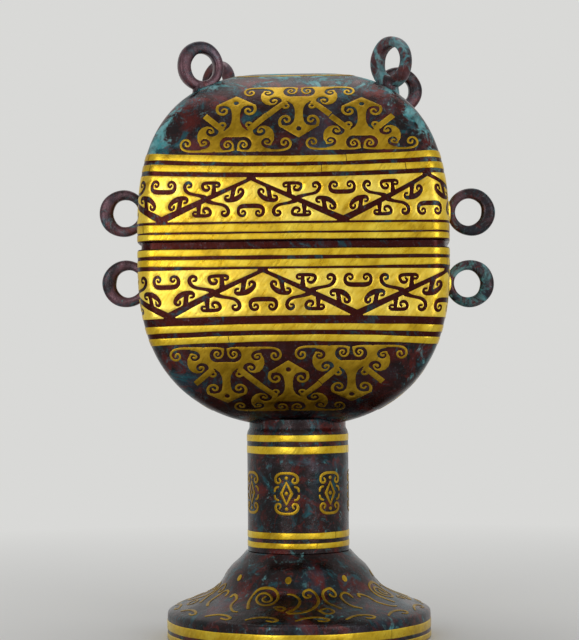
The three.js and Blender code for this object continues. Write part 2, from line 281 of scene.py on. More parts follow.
def turned_wall(name, radius, profile):
    """Levels on a turned wall are lengths along its profile, from its lower end."""
    angle = np.linspace(0, 2 * math.pi, 361)[:-1] - math.pi / 2
    girth = np.c_[np.cos(angle), np.sin(angle)] * radius
    steps = np.linalg.norm(np.diff(profile, axis=0), axis=1)
    levels = np.r_[0, np.cumsum(steps)]
    share = profile[:, 0] / radius
    return Wall(name, girth, levels, share, share, profile[:, 1], radius)


stem_wall = turned_wall("stem_wall", STEM_RADIUS, np.array([(STEM_RADIUS, 0.0), (STEM_RADIUS, 100.0)]))
FOOT_GOLD_PROUD = 0.15


def moved_out(line, distance):
    """An open line of (radius, height) points, moved sideways away from the axis."""
    along = np.gradient(line, axis=0)
    along /= np.linalg.norm(along, axis=1)[:, None]
    return line + np.c_[along[:, 1], -along[:, 0]] * distance


foot_line = smooth_line(FOOT_FLARE, 2)
foot_wall = turned_wall("foot_wall", FOOT_RADIUS, moved_out(foot_line, FOOT_GOLD_PROUD))
print("foot profile is", round(foot_wall.levels[-1], 1), "mm long")

# %% [markdown]
# One Geometry Nodes tree does the wrapping for every band, scroll and shell. It repeats the flat piece
# along the girth, samples both lines of the wall at each point, multiplies them, and lifts the point
# off the wall along the normal. Flat work modelled straight on the curved wall would need every
# stroke placed by hand in three dimensions.

# %% The wrapping tree
def build_wrap_tree():
    """Flat piece in, wrapped piece out: x goes round, y up the upright line and z off the wall."""
    tree = bpy.data.node_groups.new("wrap flat work round a wall", "GeometryNodeTree")
    sockets = {
        "Flat piece": "Geometry", "Girth": "Object", "Upright line": "Object", "Copies": "Int",
        "Spacing": "Float", "First": "Float", "Finish": "Material",
    }
    for name, kind in sockets.items():
        tree.interface.new_socket(name=name, in_out="INPUT", socket_type="NodeSocket" + kind)
    tree.interface.new_socket(name="Wrapped piece", in_out="OUTPUT", socket_type="NodeSocketGeometry")
    given = node(tree, "NodeGroupInput").outputs
    first = node(tree, "ShaderNodeCombineXYZ", {"X": given["First"]})
    step = node(tree, "ShaderNodeCombineXYZ", {"X": given["Spacing"]})
    places = node(tree, "GeometryNodeMeshLine", {
        "Count": given["Copies"], "Start Location": first.outputs[0], "Offset": step.outputs[0],
    }, mode="OFFSET")
    copies = node(tree, "GeometryNodeInstanceOnPoints", {
        "Points": places.outputs[0], "Instance": given["Flat piece"],
    })
    flat = node(tree, "GeometryNodeRealizeInstances", {"Geometry": copies.outputs[0]})
    place = node(tree, "ShaderNodeSeparateXYZ", {0: node(tree, "GeometryNodeInputPosition").outputs[0]})
    girth = node(tree, "GeometryNodeObjectInfo", {"Object": given["Girth"]}).outputs["Geometry"]
    upright = node(tree, "GeometryNodeObjectInfo", {"Object": given["Upright line"]}).outputs["Geometry"]
    whole = node(tree, "GeometryNodeCurveLength", {"Curve": girth})
    round_by = node(tree, "ShaderNodeMath", {0: place.outputs[0], 1: whole.outputs[0]},
                    operation="FLOORED_MODULO")
    across = node(tree, "GeometryNodeSampleCurve", {"Curves": girth, "Length": round_by.outputs[0]},
                  mode="LENGTH")
    along = node(tree, "GeometryNodeSampleCurve", {"Curves": upright, "Length": place.outputs[1]},
                 mode="LENGTH")
    products = []
    for one, other in (("Position", "Position"), ("Tangent", "Position"), ("Position", "Tangent")):
        products.append(node(tree, "ShaderNodeVectorMath", {
            0: across.outputs[one], 1: along.outputs[other],
        }, operation="MULTIPLY").outputs[0])
    cross = node(tree, "ShaderNodeVectorMath", {0: products[1], 1: products[2]}, operation="CROSS_PRODUCT")
    normal = node(tree, "ShaderNodeVectorMath", {0: cross.outputs[0]}, operation="NORMALIZE")
    lift = node(tree, "ShaderNodeVectorMath", {0: normal.outputs[0], "Scale": place.outputs[2]},
                operation="SCALE")
    target = node(tree, "ShaderNodeVectorMath", {0: products[0], 1: lift.outputs[0]}, operation="ADD")
    laid = node(tree, "GeometryNodeSetPosition", {
        "Geometry": flat.outputs[0], "Position": target.outputs[0],
    })
    merged = node(tree, "GeometryNodeMergeByDistance", {"Geometry": laid.outputs[0], "Distance": 2e-6})
    single = node(tree, "GeometryNodeRealizeInstances", {"Geometry": merged.outputs[0]})
    finished = node(tree, "GeometryNodeSetMaterial", {
        "Geometry": single.outputs[0], "Material": given["Finish"],
    })
    node(tree, "NodeGroupOutput", {0: finished.outputs[0]})
    return tree


wrap_tree = build_wrap_tree()
SOCKETS = {item.name: item.identifier for item in wrap_tree.interface.items_tree if item.in_out == "INPUT"}
print("wrap tree has", len(wrap_tree.nodes), "nodes")

# %% [markdown]
# A flat piece is drawn as points that say how far round, at what level and how far off the wall they
# lie. A carrier object takes the tree as a modifier, its evaluated mesh is kept as the finished piece,
# and the carrier is thrown away.

# %% Wrapping a flat piece and finishing it
SHARP = math.radians(38)


def shade(mesh, angle=SHARP):
    """Smooth faces, with edges over this angle kept crisp."""
    mesh.shade_smooth()
    mesh.set_sharp_from_angle(angle=angle)


def new_piece(name, points, faces, finish, angle=SHARP):
    """A piece from points in metres and faces, in its finish."""
    mesh = bpy.data.meshes.new(name)
    mesh.from_pydata(points, [], faces)
    mesh.materials.append(finish)
    shade(mesh, angle)
    piece = bpy.data.objects.new(name, mesh)
    scene.collection.objects.link(piece)
    return piece


def wrap(name, flat, wall, finish, copies=1, spacing=0.0, first=0.0):
    """Makes a piece from flat points (round, level, off the wall, in mm) and faces."""
    points, faces = flat
    place = np.c_[points[:, 0] * MM, wall.length_at(points[:, 1]), points[:, 2] * MM]
    mesh = bpy.data.meshes.new(name)
    mesh.from_pydata(place.tolist(), [], faces)
    carrier = bpy.data.objects.new(name + "_flat", mesh)
    scene.collection.objects.link(carrier)
    modifier = carrier.modifiers.new("wrap", "NODES")
    modifier.node_group = wrap_tree
    values = {
        "Girth": wall.girth, "Upright line": wall.upright, "Copies": copies,
        "Spacing": spacing * MM, "First": first * MM, "Finish": finish,
    }
    for label, value in values.items():
        modifier[SOCKETS[label]] = value
    evaluated = carrier.evaluated_get(bpy.context.evaluated_depsgraph_get())
    made = bpy.data.meshes.new_from_object(evaluated)
    bpy.data.objects.remove(carrier)
    bpy.data.meshes.remove(mesh)
    shade(made)
    piece = bpy.data.objects.new(name, made)
    scene.collection.objects.link(piece)
    return piece


def belongs(piece, body, slot, *nodes):
    """The piece rides a body and may stand for CAD nodes; its slot is not used."""
    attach(piece, body)
    if nodes:
        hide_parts(*nodes)
    print(piece.name, len(piece.data.polygons), "faces")


print("edges stay crisp over", round(math.degrees(SHARP)), "degrees")

# %% [markdown]
# Both metals are coloured in layers. A noise pattern says where a layer shows, and its colour is laid
# over what is there already, as a patinator would dab one wash over another.

# %% Colours in layers
def finish_material(name):
    """An empty material and its node tree."""
    made = bpy.data.materials.new(name)
    made.use_nodes = True
    made.node_tree.nodes.clear()
    return made, made.node_tree


def painted(tree, colour, layers):
    """Lays one colour over another, layer by layer, wherever a pattern rises from low to high."""
    for pattern, low, high, amount, code in layers:
        share = node(tree, "ShaderNodeMapRange", {
            "Value": pattern, "From Min": low, "From Max": high, "To Max": amount,
        })
        colour = node(tree, "ShaderNodeMix", {
            "Factor": share.outputs[0], 6: colour, 7: linear(code),
        }, data_type="RGBA").outputs[2]
    return colour


print("layers are laid from the first to the last")

# %% [markdown]
# The bronze is a cast copper alloy under an old patina: maroon and black over most of it, with red,
# green and slate patches, and a turquoise bloom on the ridges that hands and cloths miss. Patches of
# mauve-grey over it are a painted sheen that stands in for satin highlights. A patina is part metal and
# part mineral skin, so it is a half-metallic surface with a satin gloss. In the bed of the gold it is
# rubbed bare, which makes it more metallic and maroon. The blotches run from patches of 26 mm down to a
# casting grain of about 1 mm, drawn coarser than the real grain so that it shows.

# %% Patinated bronze
# Each pattern: how wide its blotches are in mm, its detail, its roughness and its twist.
PATINA_PATTERNS = {
    "ground": (26, 6, 0.62, 0.6), "reds": (15, 7, 0.66, 1.0), "greens": (11, 7, 0.7, 1.4),
    "painted_sheen": (20, 7, 0.62, 0.4), "rust": (4.2, 6, 0.7, 0.9), "flecks": (3.1, 7, 0.74, 0.7),
    "crust": (8, 9, 0.74, 0.8), "tint": (4, 4, 0.6, 0), "grain": (1.1, 3, 0.7, 0),
    "gloss": (8, 5, 0.6, 0), "lumps": (6, 7, 0.62, 0),
}


def patina(name, dark, mid, red, bloom, bloom_amount, rough, bed_and_seam_shade):
    """Cast bronze under its patina, with maroon where the gold is laid, which is also painted as shade on the
    seam's ledge and tongue.
    """
    made, tree = finish_material(name)
    place = node(tree, "ShaderNodeTexCoord").outputs["Object"]
    pattern = {}
    for label, (size, detail, coarse, twist) in PATINA_PATTERNS.items():
        pattern[label] = node(tree, "ShaderNodeTexNoise", {
            "Vector": place, "Scale": 1000 / size, "Detail": detail, "Roughness": coarse, "Distortion": twist,
        }).outputs["Fac"]
    ridge = node(tree, "ShaderNodeAttribute", attribute_name="ridge").outputs["Fac"]
    band = node(tree, "ShaderNodeAttribute", attribute_name="band").outputs["Fac"]
    colour = painted(tree, linear(dark), (
        (pattern["ground"], 0.53, 0.45, 1, mid), (pattern["ground"], 0.45, 0.34, 1, dark),
        (pattern["ground"], 0.53, 0.66, 1, "#1c2c38"), (pattern["reds"], 0.52, 0.64, 0.9, red),
        # The mauve-grey layer, #56505e, is a painted sheen: lighter patches that stand in for satin
        # highlights.
        (pattern["greens"], 0.54, 0.64, 0.75, "#12505a"), (pattern["painted_sheen"], 0.55, 0.68, 0.35, "#56505e"),
        (pattern["rust"], 0.57, 0.67, 0.55, "#6b1f15"), (pattern["flecks"], 0.58, 0.68, 0.5, "#487c84"),
    ))
    clear_of_green = node(tree, "ShaderNodeMapRange", {
        "Value": pattern["greens"], "From Min": 0.54, "From Max": 0.635, "To Min": 0.85, "To Max": 0.3,
    })
    # Where band is high the dark maroon shows: real staining in the rows and among the figures, painted shade
    # in the seam.
    stain = node(tree, "ShaderNodeMath", {0: band, 1: clear_of_green.outputs[0]}, operation="MULTIPLY")
    colour = painted(tree, colour, ((stain.outputs[0], 0, 1, 1, bed_and_seam_shade),))
    raised = node(tree, "ShaderNodeMath", {0: ridge, 1: 0.24, 2: pattern["crust"]}, operation="MULTIPLY_ADD")
    crusted = node(tree, "ShaderNodeMapRange", {
        "Value": raised.outputs[0], "From Min": 0.6, "From Max": 0.7, "To Max": bloom_amount,
    })
    rubbed = node(tree, "ShaderNodeMapRange", {"Value": band, "To Min": 1.0, "To Max": 0.35})
    skin = node(tree, "ShaderNodeMath", {0: crusted.outputs[0], 1: rubbed.outputs[0]},
                operation="MULTIPLY").outputs[0]
    tint = painted(tree, linear(bloom), ((pattern["tint"], 0.35, 0.65, 1, "#7fb9bd"),))
    colour = node(tree, "ShaderNodeMix", {"Factor": skin, 6: colour, 7: tint}, data_type="RGBA").outputs[2]
    colour = painted(tree, colour, ((pattern["grain"], 0.6, 0.78, 0.3, "#7d8490"),))
    satin = node(tree, "ShaderNodeMapRange", {
        "Value": pattern["gloss"], "From Min": 0.3, "From Max": 0.7,
        "To Min": rough - 0.08, "To Max": rough + 0.14,
    })
    gloss = node(tree, "ShaderNodeMath", {0: skin, 1: 0.3, 2: satin.outputs[0]}, operation="MULTIPLY_ADD")
    bare = node(tree, "ShaderNodeMath", {0: band, 1: 0.35, 2: 0.5}, operation="MULTIPLY_ADD")
    metal = node(tree, "ShaderNodeMapRange", {
        "Value": skin, "From Max": 0.6, "To Min": bare.outputs[0], "To Max": 0.05,
    })
    lumps = node(tree, "ShaderNodeBump", {"Height": pattern["lumps"], "Distance": 0.0005, "Strength": 0.4})
    fine = node(tree, "ShaderNodeBump", {
        "Height": pattern["grain"], "Distance": 0.00012, "Strength": 0.5, "Normal": lumps.outputs[0],
    })
    raised_skin = node(tree, "ShaderNodeBump", {
        "Height": skin, "Distance": 0.00025, "Strength": 0.5, "Normal": fine.outputs[0],
    })
    shader = node(tree, "ShaderNodeBsdfPrincipled", {
        "Base Color": colour, "Roughness": gloss.outputs[0], "Metallic": metal.outputs[0],
        "Normal": raised_skin.outputs[0], "Specular IOR Level": 0.4,
    })
    node(tree, "ShaderNodeOutputMaterial", {"Surface": shader.outputs[0]})
    return made


bronze = patina(
    "patinated_bronze", "#070608", "#221012", "#58140d", "#2b8f95", 0.85, 0.26, "#3a0e08")
ring_bronze = patina(
    "patinated_ring_bronze", "#24161a", "#5c3e46", "#552420", "#2b7f88", 0.7, 0.28, "#4a1512")
print("bronze finishes:", bronze.name, ring_bronze.name)

# %% [markdown]
# The gold is thin sheet, hammered into its bed and rubbed for years: bright on the flats, ochre in the
# hollows, with short slanting tool marks about 2 mm wide and a few brown threads where the sheet split.
# Strips and panels are burnished brighter than the inlay of the shoulders, the stem and the foot, and the
# panels are lighter again, partly burnish and partly a painted highlight.

# %% Hammered gold
def gold_sheet(name, light, body, deep, rough):
    """Hammered gold in three tones, with tool marks that slant across the piece."""
    made, tree = finish_material(name)
    place = node(tree, "ShaderNodeTexCoord").outputs["Object"]
    slanted = {}
    for label, turn, longer in (("slant", (0.3, 0.75, 0.2), 4.5), ("steep", (0.1, 0.55, 0.1), 8)):
        slanted[label] = node(tree, "ShaderNodeMapping", {
            "Vector": place, "Rotation": turn, "Scale": (1, 1, longer),
        }, vector_type="TEXTURE").outputs[0]
    pattern = {}
    for label, along, size, detail, coarse, twist in (
        ("strokes", slanted["slant"], 2.2, 4, 0.6, 0), ("hatch", slanted["steep"], 0.75, 3, 0.6, 0),
        ("threads", slanted["slant"], 3.03, 8, 0.7, 1.5), ("tone", place, 12, 6, 0.6, 0),
        ("dents", place, 3.5, 3, 0.6, 0),
    ):
        pattern[label] = node(tree, "ShaderNodeTexNoise", {
            "Vector": along, "Scale": 1000 / size, "Detail": detail, "Roughness": coarse, "Distortion": twist,
        }).outputs["Fac"]
    colour = painted(tree, linear(deep), (
        (pattern["tone"], 0.3, 0.48, 1, body), (pattern["tone"], 0.48, 0.7, 1, light),
        (pattern["strokes"], 0.35, 0.75, 0.55, light), (pattern["threads"], 0.66, 0.72, 0.8, "#5a2a0c"),
        (pattern["hatch"], 0.52, 0.7, 0.35, deep),
    ))
    gloss = node(tree, "ShaderNodeMapRange", {
        "Value": pattern["strokes"], "From Min": 0.3, "From Max": 0.7,
        "To Min": rough - 0.06, "To Max": rough + 0.12,
    })
    scratched = node(tree, "ShaderNodeBump", {
        "Height": pattern["hatch"], "Distance": 0.00006, "Strength": 0.6,
    })
    marks = node(tree, "ShaderNodeBump", {
        "Height": pattern["strokes"], "Distance": 0.00018, "Strength": 0.5, "Normal": scratched.outputs[0],
    })
    dents = node(tree, "ShaderNodeBump", {
        "Height": pattern["dents"], "Distance": 0.0003, "Strength": 0.3, "Normal": marks.outputs[0],
    })
    shader = node(tree, "ShaderNodeBsdfPrincipled", {
        "Base Color": colour, "Roughness": gloss.outputs[0], "Metallic": 1.0, "Normal": dents.outputs[0],
    })
    node(tree, "ShaderNodeOutputMaterial", {"Surface": shader.outputs[0]})
    return made


strip_gold = gold_sheet("hammered_gold_strip", "#e6cd48", "#c9a322", "#8f6a12", 0.3)
scroll_gold = gold_sheet("rubbed_gold_inlay", "#b8962c", "#8f6f18", "#61480e", 0.36)
# The panels' gold is written lighter than the strips', partly burnish and partly a painted highlight.
panel_gold = gold_sheet("hammered_gold_panel", "#f4de68", "#dab430", "#a37c18", 0.3)
print("gold finishes:", strip_gold.name, scroll_gold.name, panel_gold.name)

# %% [markdown]
# Shells, strips and castings all have skins of four-cornered faces between rows of points, as a knitted
# or planked skin has. One helper lists the faces, and says whether the rows or the columns close up.

# %% Faces between rows of points
def grid_faces(rows, columns, rows_closed=False, columns_closed=False):
    """Faces between points that are listed row by row."""
    faces = []
    for row in range(rows if rows_closed else rows - 1):
        here, there = row * columns, (row + 1) % rows * columns
        for column in range(columns if columns_closed else columns - 1):
            after = (column + 1) % columns
            faces.append((here + column, here + after, there + after, there + column))
    return faces


print("two open rows of three points have", len(grid_faces(2, 3)), "faces between them")

# %% [markdown]
# A shell such as the bowl is one closed skin: rows of points that run up the outside, over the rim and
# down the inside, each row a full turn round the girth. Rows are given as level and depth behind
# the wall, so the same wrapping serves them.

# %% Closed shells from rows
SHELL_STEP = 1.2


def ring_skin(rows, wall):
    """Flat skin of rows of (level, off the wall), each going once round the girth."""
    count = int(wall.girth_length / SHELL_STEP)
    rounds = np.linspace(-0.5, 0.5, count + 1) * wall.girth_length
    points = np.array([(r, level, off) for level, off in rows for r in rounds], float)
    return points, grid_faces(len(rows), count + 1)


def between(low, high, count, ease=1.0):
    """Levels from low to high, closer together at the low end where ease is over 1."""
    return low + (high - low) * np.linspace(0, 1, count) ** ease


print("shells have a point every", SHELL_STEP, "mm round the girth")

# %% [markdown]
# The crust of green sits where nobody rubs it off, on the corner ridges and the crown; on the crown it is
# partly crust and partly a painted sheen along the crest. The maroon of the gold's bed shows between the
# rows of gold and, fainter, between the figures, and the same maroon is painted as shade on the ledge and
# tongue in the seam. Both are written on the shell's points as attributes, which the patina reads.

# %% Where crust and maroon show
RIDGE_FROM = 0.8  # share of the half width and depth from which a corner counts as a ridge
CROWN_FROM = 0.79  # share of the height from which the crown carries crust and painted sheen
# How much turquoise the crown gets: part crust and part painted sheen along the crest.
CROWN_CRUST_AND_SHEEN = 0.5
BOWL_CRUST = (0.5, -0.3)  # the bowl's ridges carry half the crust of the lid's, less a little
FIGURES_REACH = 42  # how far the figures reach from the middle, in mm


def mark_ridges(piece, rim, up, height, roundness, rows, stain):
    """Writes how near each outside point lies to a corner ridge or the crown, and how far the maroon under
    the gold shows there: all of it in the rows, some of it among the figures, and all of it as painted
    shade on the ledge and tongue in the seam."""
    mesh = piece.data
    places = np.empty(len(mesh.vertices) * 3, np.float32)
    mesh.vertices.foreach_get("co", places)
    places = places.reshape(-1, 3) / MM
    distance = np.clip((places[:, 2] - rim) * up / height, 0, 1)
    share_x = (1 - np.minimum(distance, 0.999) ** SIDE_FULLNESS) ** (1 / roundness)
    share_y = np.sqrt(1 - np.minimum(distance, 0.999) ** FRONT_FULLNESS)
    near_x = np.abs(places[:, 0]) / (HALF_WIDTH * share_x)
    near_y = np.abs(places[:, 1]) / (HALF_DEPTH * share_y)
    corner = np.clip((np.minimum(near_x, near_y) - RIDGE_FROM) / (1 - RIDGE_FROM), 0, 1)
    # Above CROWN_FROM the crown's turquoise is partly crust and partly a painted sheen along the crest.
    crown = CROWN_CRUST_AND_SHEEN * np.clip((distance - CROWN_FROM) / 0.1, 0, 1)
    crust = np.maximum(corner * np.clip(distance * 2.2, 0, 1), crown)
    if up < 0:
        crust = crust * BOWL_CRUST[0] + BOWL_CRUST[1]
    # Points at or past the rim count as in the rows, so the ledge and tongue in the seam get the dark maroon
    # too, as painted shade in the gap.
    rows_and_seam_shade = np.clip((rows - distance * height) / 1.5, 0, 1)
    inside_figures = np.clip((FIGURES_REACH - np.abs(places[:, 0])) / 10, 0, 1)
    among = stain * inside_figures * np.clip((0.95 - distance) / 0.1, 0, 1)
    for label, values in (("ridge", crust), ("band", np.maximum(rows_and_seam_shade, among))):
        layer = mesh.attributes.new(label, "FLOAT", "POINT")
        layer.data.foreach_set("value", values.astype(np.float32))


print("crown crusted from", round(LID_RIM + CROWN_FROM * LID_HEIGHT), "mm up")

# %% [markdown]
# The bowl's rim steps in to a ledge that carries the lid, and an upright tongue stands on the ledge
# inside the lid's rim. The lid's own rim is plain.

# %% The bowl and the lid
LEDGE_IN = 1.6
LEDGE_UP = 2.4
TONGUE_IN = 3.5
TONGUE_UP = 7
TONGUE_WALL = 2.1
BOWL_WALL = 3.5
LID_WALL = 3


def bowl_rows():
    """From the bowl's underside up its outside, over ledge and tongue, and down the inside."""
    outside = [(-BOWL_HEIGHT, 0.0)]
    outside += [(level, -SUNK) for level in between(-BOWL_HEIGHT + 0.02, -34, 34, 1.6)]
    outside += [(level, -SUNK) for level in between(-33, -0.5, 24)]
    rim = [
        (-0.15, -SUNK - 0.1), (0, -SUNK - 0.35), (0, -LEDGE_IN), (LEDGE_UP, -LEDGE_IN - 0.1),
        (LEDGE_UP, -TONGUE_IN), (TONGUE_UP - 0.4, -TONGUE_IN - 0.05), (TONGUE_UP, -TONGUE_IN - 0.4),
        (TONGUE_UP, -TONGUE_IN - TONGUE_WALL + 0.4), (TONGUE_UP - 0.4, -TONGUE_IN - TONGUE_WALL),
        (-6, -TONGUE_IN - TONGUE_WALL), (-10, -4.4),
    ]
    inside = [(level, -BOWL_WALL) for level in between(-14, -BOWL_HEIGHT + 0.3, 34, 0.6)]
    return outside + rim + inside + [(-BOWL_HEIGHT - BOWL_WALL, 0.0)]


def lid_rows():
    """From the lid's inner crown down the inside, round the rim, and up the outside."""
    inside = [(LID_HEIGHT + LID_WALL, 0.0)]
    inside += [(level, -LID_WALL) for level in between(LID_HEIGHT - 0.3, 0.4, 34, 1.6)]
    rim = [(0, -LID_WALL + 0.4), (0, -SUNK - 0.35), (0.15, -SUNK - 0.1)]
    outside = [(level, -SUNK) for level in between(0.5, 33, 24)]
    outside += [(level, -SUNK) for level in between(34, LID_HEIGHT - 0.02, 34, 0.6)]
    return inside + rim + outside + [(LID_HEIGHT, 0.0)]


bowl = wrap("bowl_body", ring_skin(bowl_rows(), bowl_wall), bowl_wall, bronze)
mark_ridges(bowl, BOWL_RIM, -1, BOWL_HEIGHT, BOWL_ROUNDNESS, rows=37, stain=0.65)
belongs(bowl, "base", "bronze", "bowl")
lid = wrap("lid_body", ring_skin(lid_rows(), lid_wall), lid_wall, bronze)
mark_ridges(lid, LID_RIM, 1, LID_HEIGHT, LID_ROUNDNESS, rows=34, stain=0.35)
belongs(lid, "lid", "bronze", "lid")

# %% [markdown]
# The stem is a tube that draws in at its neck and cups the bowl's underside. The foot flares out to
# an upright rim and is hollow underneath.

# %% The stem and the foot
def turned_piece(name, profile, finish, steps=144):
    """A closed piece turned from (radius, height) points that run up its outside."""
    angle = np.linspace(0, 2 * math.pi, steps + 1)[:-1]
    points = []
    starts = []
    for radius, height in profile:
        starts.append((len(points), radius == 0))
        if radius == 0:
            points.append((0, 0, height * MM))
        else:
            points += [(radius * MM * math.cos(a), radius * MM * math.sin(a), height * MM) for a in angle]
    faces = []
    last = len(profile) if profile[0][0] > 0 else len(profile) - 1
    for row in range(last):
        (low, low_pole), (high, high_pole) = starts[row], starts[(row + 1) % len(profile)]
        for step in range(steps):
            after = (step + 1) % steps
            if low_pole:
                faces.append((low, high + after, high + step))
            elif high_pole:
                faces.append((low + step, low + after, high))
            else:
                faces.append((low + step, low + after, high + after, high + step))
    return new_piece(name, points, faces, finish)


stem_side = [(STEM_RADIUS - SUNK, z) for z in np.linspace(STEM_BOTTOM, 80.4, 20)]
stem_top = [(20.0, 81.2), (19.7, 81.9), (19.3, 82.6), (19.2, 83.2), (19.2, 86.2)]
stem_inside = [(11.5, 84.2), (11.5, STEM_BOTTOM)]
stem = turned_piece("stem_tube", stem_side + stem_top + stem_inside, bronze)
belongs(stem, "base", "bronze", "stem")
foot_inside = [
    (0, 31), (22.7, 27), (24.9, 22.3), (28.1, 17.8), (32.2, 15.4), (40.2, 12.4), (46.6, 9.8), (44.4, 0.4),
    (44.8, 0), (51.9, 0), (52.25, 0.3),
]
foot = turned_piece("foot_body", foot_inside + [tuple(p) for p in foot_line[1:]] + [
    (19.4, 34.2), (11.2, 34.2), (11.2, 41), (0, 41),
], bronze)
belongs(foot, "base", "bronze", "foot")

# %% [markdown]
# A gold strip is a thin flat bar with softened edges, cut to length and hammered into a groove, so
# its ends butt and its edges waver a little. Each is made as short lengths with hairline joints.

# %% Gold strips
STRIP_DEPTH = 0.6
HAIR = 0.12  # half the hairline gap at a joint
# How far the rows bend at these distances from the rim, in mm
LID_SAG = ([0, 7, 8, 24, 29, 30.5, 33, 69], [0, 0, 0.2, 1.4, 1.4, 1.7, 1.7, 0])
BOWL_SAG = ([0, 3, 7, 8.3, 26, 30, 34, 36, 60], [0, 0, -0.5, 0.4, 1.1, 0.8, 1.4, 1.4, 0])
SAG_REACH = 57  # from the middle of a side to where its rows have bent all the way
SAG_MIDDLE = 0.35  # the share of the bend by which the middle lies nearer the rim


def bent(wall, around, level):
    """The rows were laid by hand: their ends lie up to 1.7 mm further from the rim than the middle."""
    if wall is not lid_wall and wall is not bowl_wall:
        return level
    half = wall.girth_length / 2
    from_middle = (around + half / 2) % half - half / 2
    share = np.minimum(1, (from_middle / SAG_REACH) ** 2) - SAG_MIDDLE
    distance = np.abs(level)
    sag = np.interp(distance, *(LID_SAG if wall is lid_wall else BOWL_SAG))
    return level + (sag * share if wall is lid_wall else -sag * share)


def strip_lengths(joints, low, high, wall, seed, step=1.3):
    """Flat bars between the joints round the girth, from level low to level high."""
    random = np.random.default_rng(seed)
    joints = sorted(joints)
    ends = joints[1:] + [joints[0] + wall.girth_length]
    share = np.array([0, 0, 0.035, 0.12, 0.5, 0.88, 0.965, 1, 1])
    off = np.array([-STRIP_DEPTH, -0.1, -0.03, 0, 0, 0, -0.03, -0.1, -STRIP_DEPTH])
    points, faces = [], []
    for start, end in zip(joints, ends):
        count = max(2, int((end - start) / step))
        shift = random.uniform(-0.06, 0.06)
        phase = random.uniform(0, 6.28, 4)
        first = len(points)
        for r in np.linspace(start + HAIR, end - HAIR, count):
            waver = 0.045 * np.sin(r / 3.1 + phase[0]) + 0.04 * np.sin(r / 7.7 + phase[1])
            other = 0.045 * np.sin(r / 3.7 + phase[2]) + 0.04 * np.sin(r / 8.9 + phase[3])
            bottom = low + shift + waver
            top = high + shift + other
            points += [(r, bent(wall, r, bottom + (top - bottom) * s), o) for s, o in zip(share, off)]
        skin = grid_faces(count, len(share), columns_closed=True)
        faces += [(first + a, first + d, first + c, first + b) for a, b, c, d in skin]
        last = len(points) - len(share)
        faces.append(tuple(range(first, first + len(share))))
        faces.append(tuple(reversed(range(last, len(points)))))
    return np.array(points), faces


def lay_strip(name, node_name, wall, low, high, joints, body, seed):
    """Makes one row of strip and lets it stand for its CAD node."""
    piece = wrap(name, strip_lengths(joints, low, high, wall, seed), wall, strip_gold)
    belongs(piece, body, "gold", node_name)


lay_strip("lid_rim_strip", "lid_rim_gold_strip", lid_wall, 0.5, 2.7, [-120, 70], "lid", 1)
lay_strip("lid_lower_strip", "lid_lower_gold_strip", lid_wall, 3.4, 6.4, [-150, -57, 95], "lid", 2)
lay_strip("lid_middle_strip", "lid_middle_gold_strip", lid_wall, 26.3, 28.8, [-56, 12, 45], "lid", 3)
lay_strip("lid_upper_strip", "lid_upper_gold_strip", lid_wall, 30.3, 32.8, [-140, -58, 22, 110], "lid", 4)
lay_strip("bowl_rim_strip", "bowl_rim_gold_strip", bowl_wall, -3, -0.5, [-90, 100], "base", 5)
lay_strip("bowl_upper_strip", "bowl_upper_gold_strip", bowl_wall, -7.1, -4.4, [-130, 60], "base", 6)
lay_strip("bowl_middle_strip", "bowl_middle_gold_strip", bowl_wall, -31.7, -29.2, [-110, 90], "base", 7)
lay_strip("bowl_lower_strip", "bowl_lower_gold_strip", bowl_wall, -36, -33.5, [-26, 120], "base", 8)
for name, wall, low, high, joints, seed in (
    ("stem_bottom", stem_wall, 36.0, 38.2, [8], 10), ("stem_lower", stem_wall, 39.8, 42.3, [17], 11),
    ("stem_upper", stem_wall, 72.9, 75.8, [26], 12), ("stem_top", stem_wall, 77.6, 80.2, [35], 13),
    ("foot_lower", foot_wall, 0.5, 2.6, [40, 190], 20), ("foot_upper", foot_wall, 4.0, 7.4, [40, 190], 21),
):
    lay_strip(name + "_strip", name + "_gold_strip", wall, low, high, joints, "base", seed)

# %% [markdown]
# The wide bands, the shoulders and the foot hold cut sheet gold. Such a sheet has strokes that taper and
# curl, and it is drawn here as a field on a fine grid: the distance to the sheet's edge, positive in the
# gold. Strokes are added or cut away, the edge is traced, and the outline is filled with triangles and
# given a thickness. The edge is eased, so each curl catches a thin line of light.

# %% Lines and where they lie
# For each way that a grid square's corners can lie in the gold: the edges by which a line comes and goes
CROSSINGS = [
    "", "bl", "rb", "rl", "tr", "bl tr", "tb", "tl", "lt", "bt", "rb lt", "rt", "lr", "br", "lb", "",
]


def thinned(loop, tolerance=0.016, longest=1.2):
    """A closed line without the points it can do without."""
    count = len(loop)
    closed = np.r_[loop, loop[:1]]
    far = int(np.argmax(np.linalg.norm(loop - loop[0], axis=1)))
    keep, todo = {0, far}, [(0, far), (far, count)]
    while todo:
        a, b = todo.pop()
        if b - a < 2:
            continue
        along = closed[b] - closed[a]
        length = max(np.linalg.norm(along), 1e-9)
        gap = closed[a + 1:b] - closed[a]
        off = np.abs(gap[:, 0] * along[1] - gap[:, 1] * along[0]) / length
        middle = a + 1 + int(np.argmax(off))
        if off.max() < tolerance:
            if length < longest:
                continue
            middle = (a + b) // 2
        keep.add(middle)
        todo += [(a, middle), (middle, b)]
    return loop[sorted(keep)]


def joined(*pieces):
    """Several flat pieces as one."""
    points, faces, first = [], [], 0
    for flat, own in pieces:
        points.append(flat)
        faces += [tuple(corner + first for corner in face) for face in own]
        first += len(flat)
    return np.concatenate(points), faces


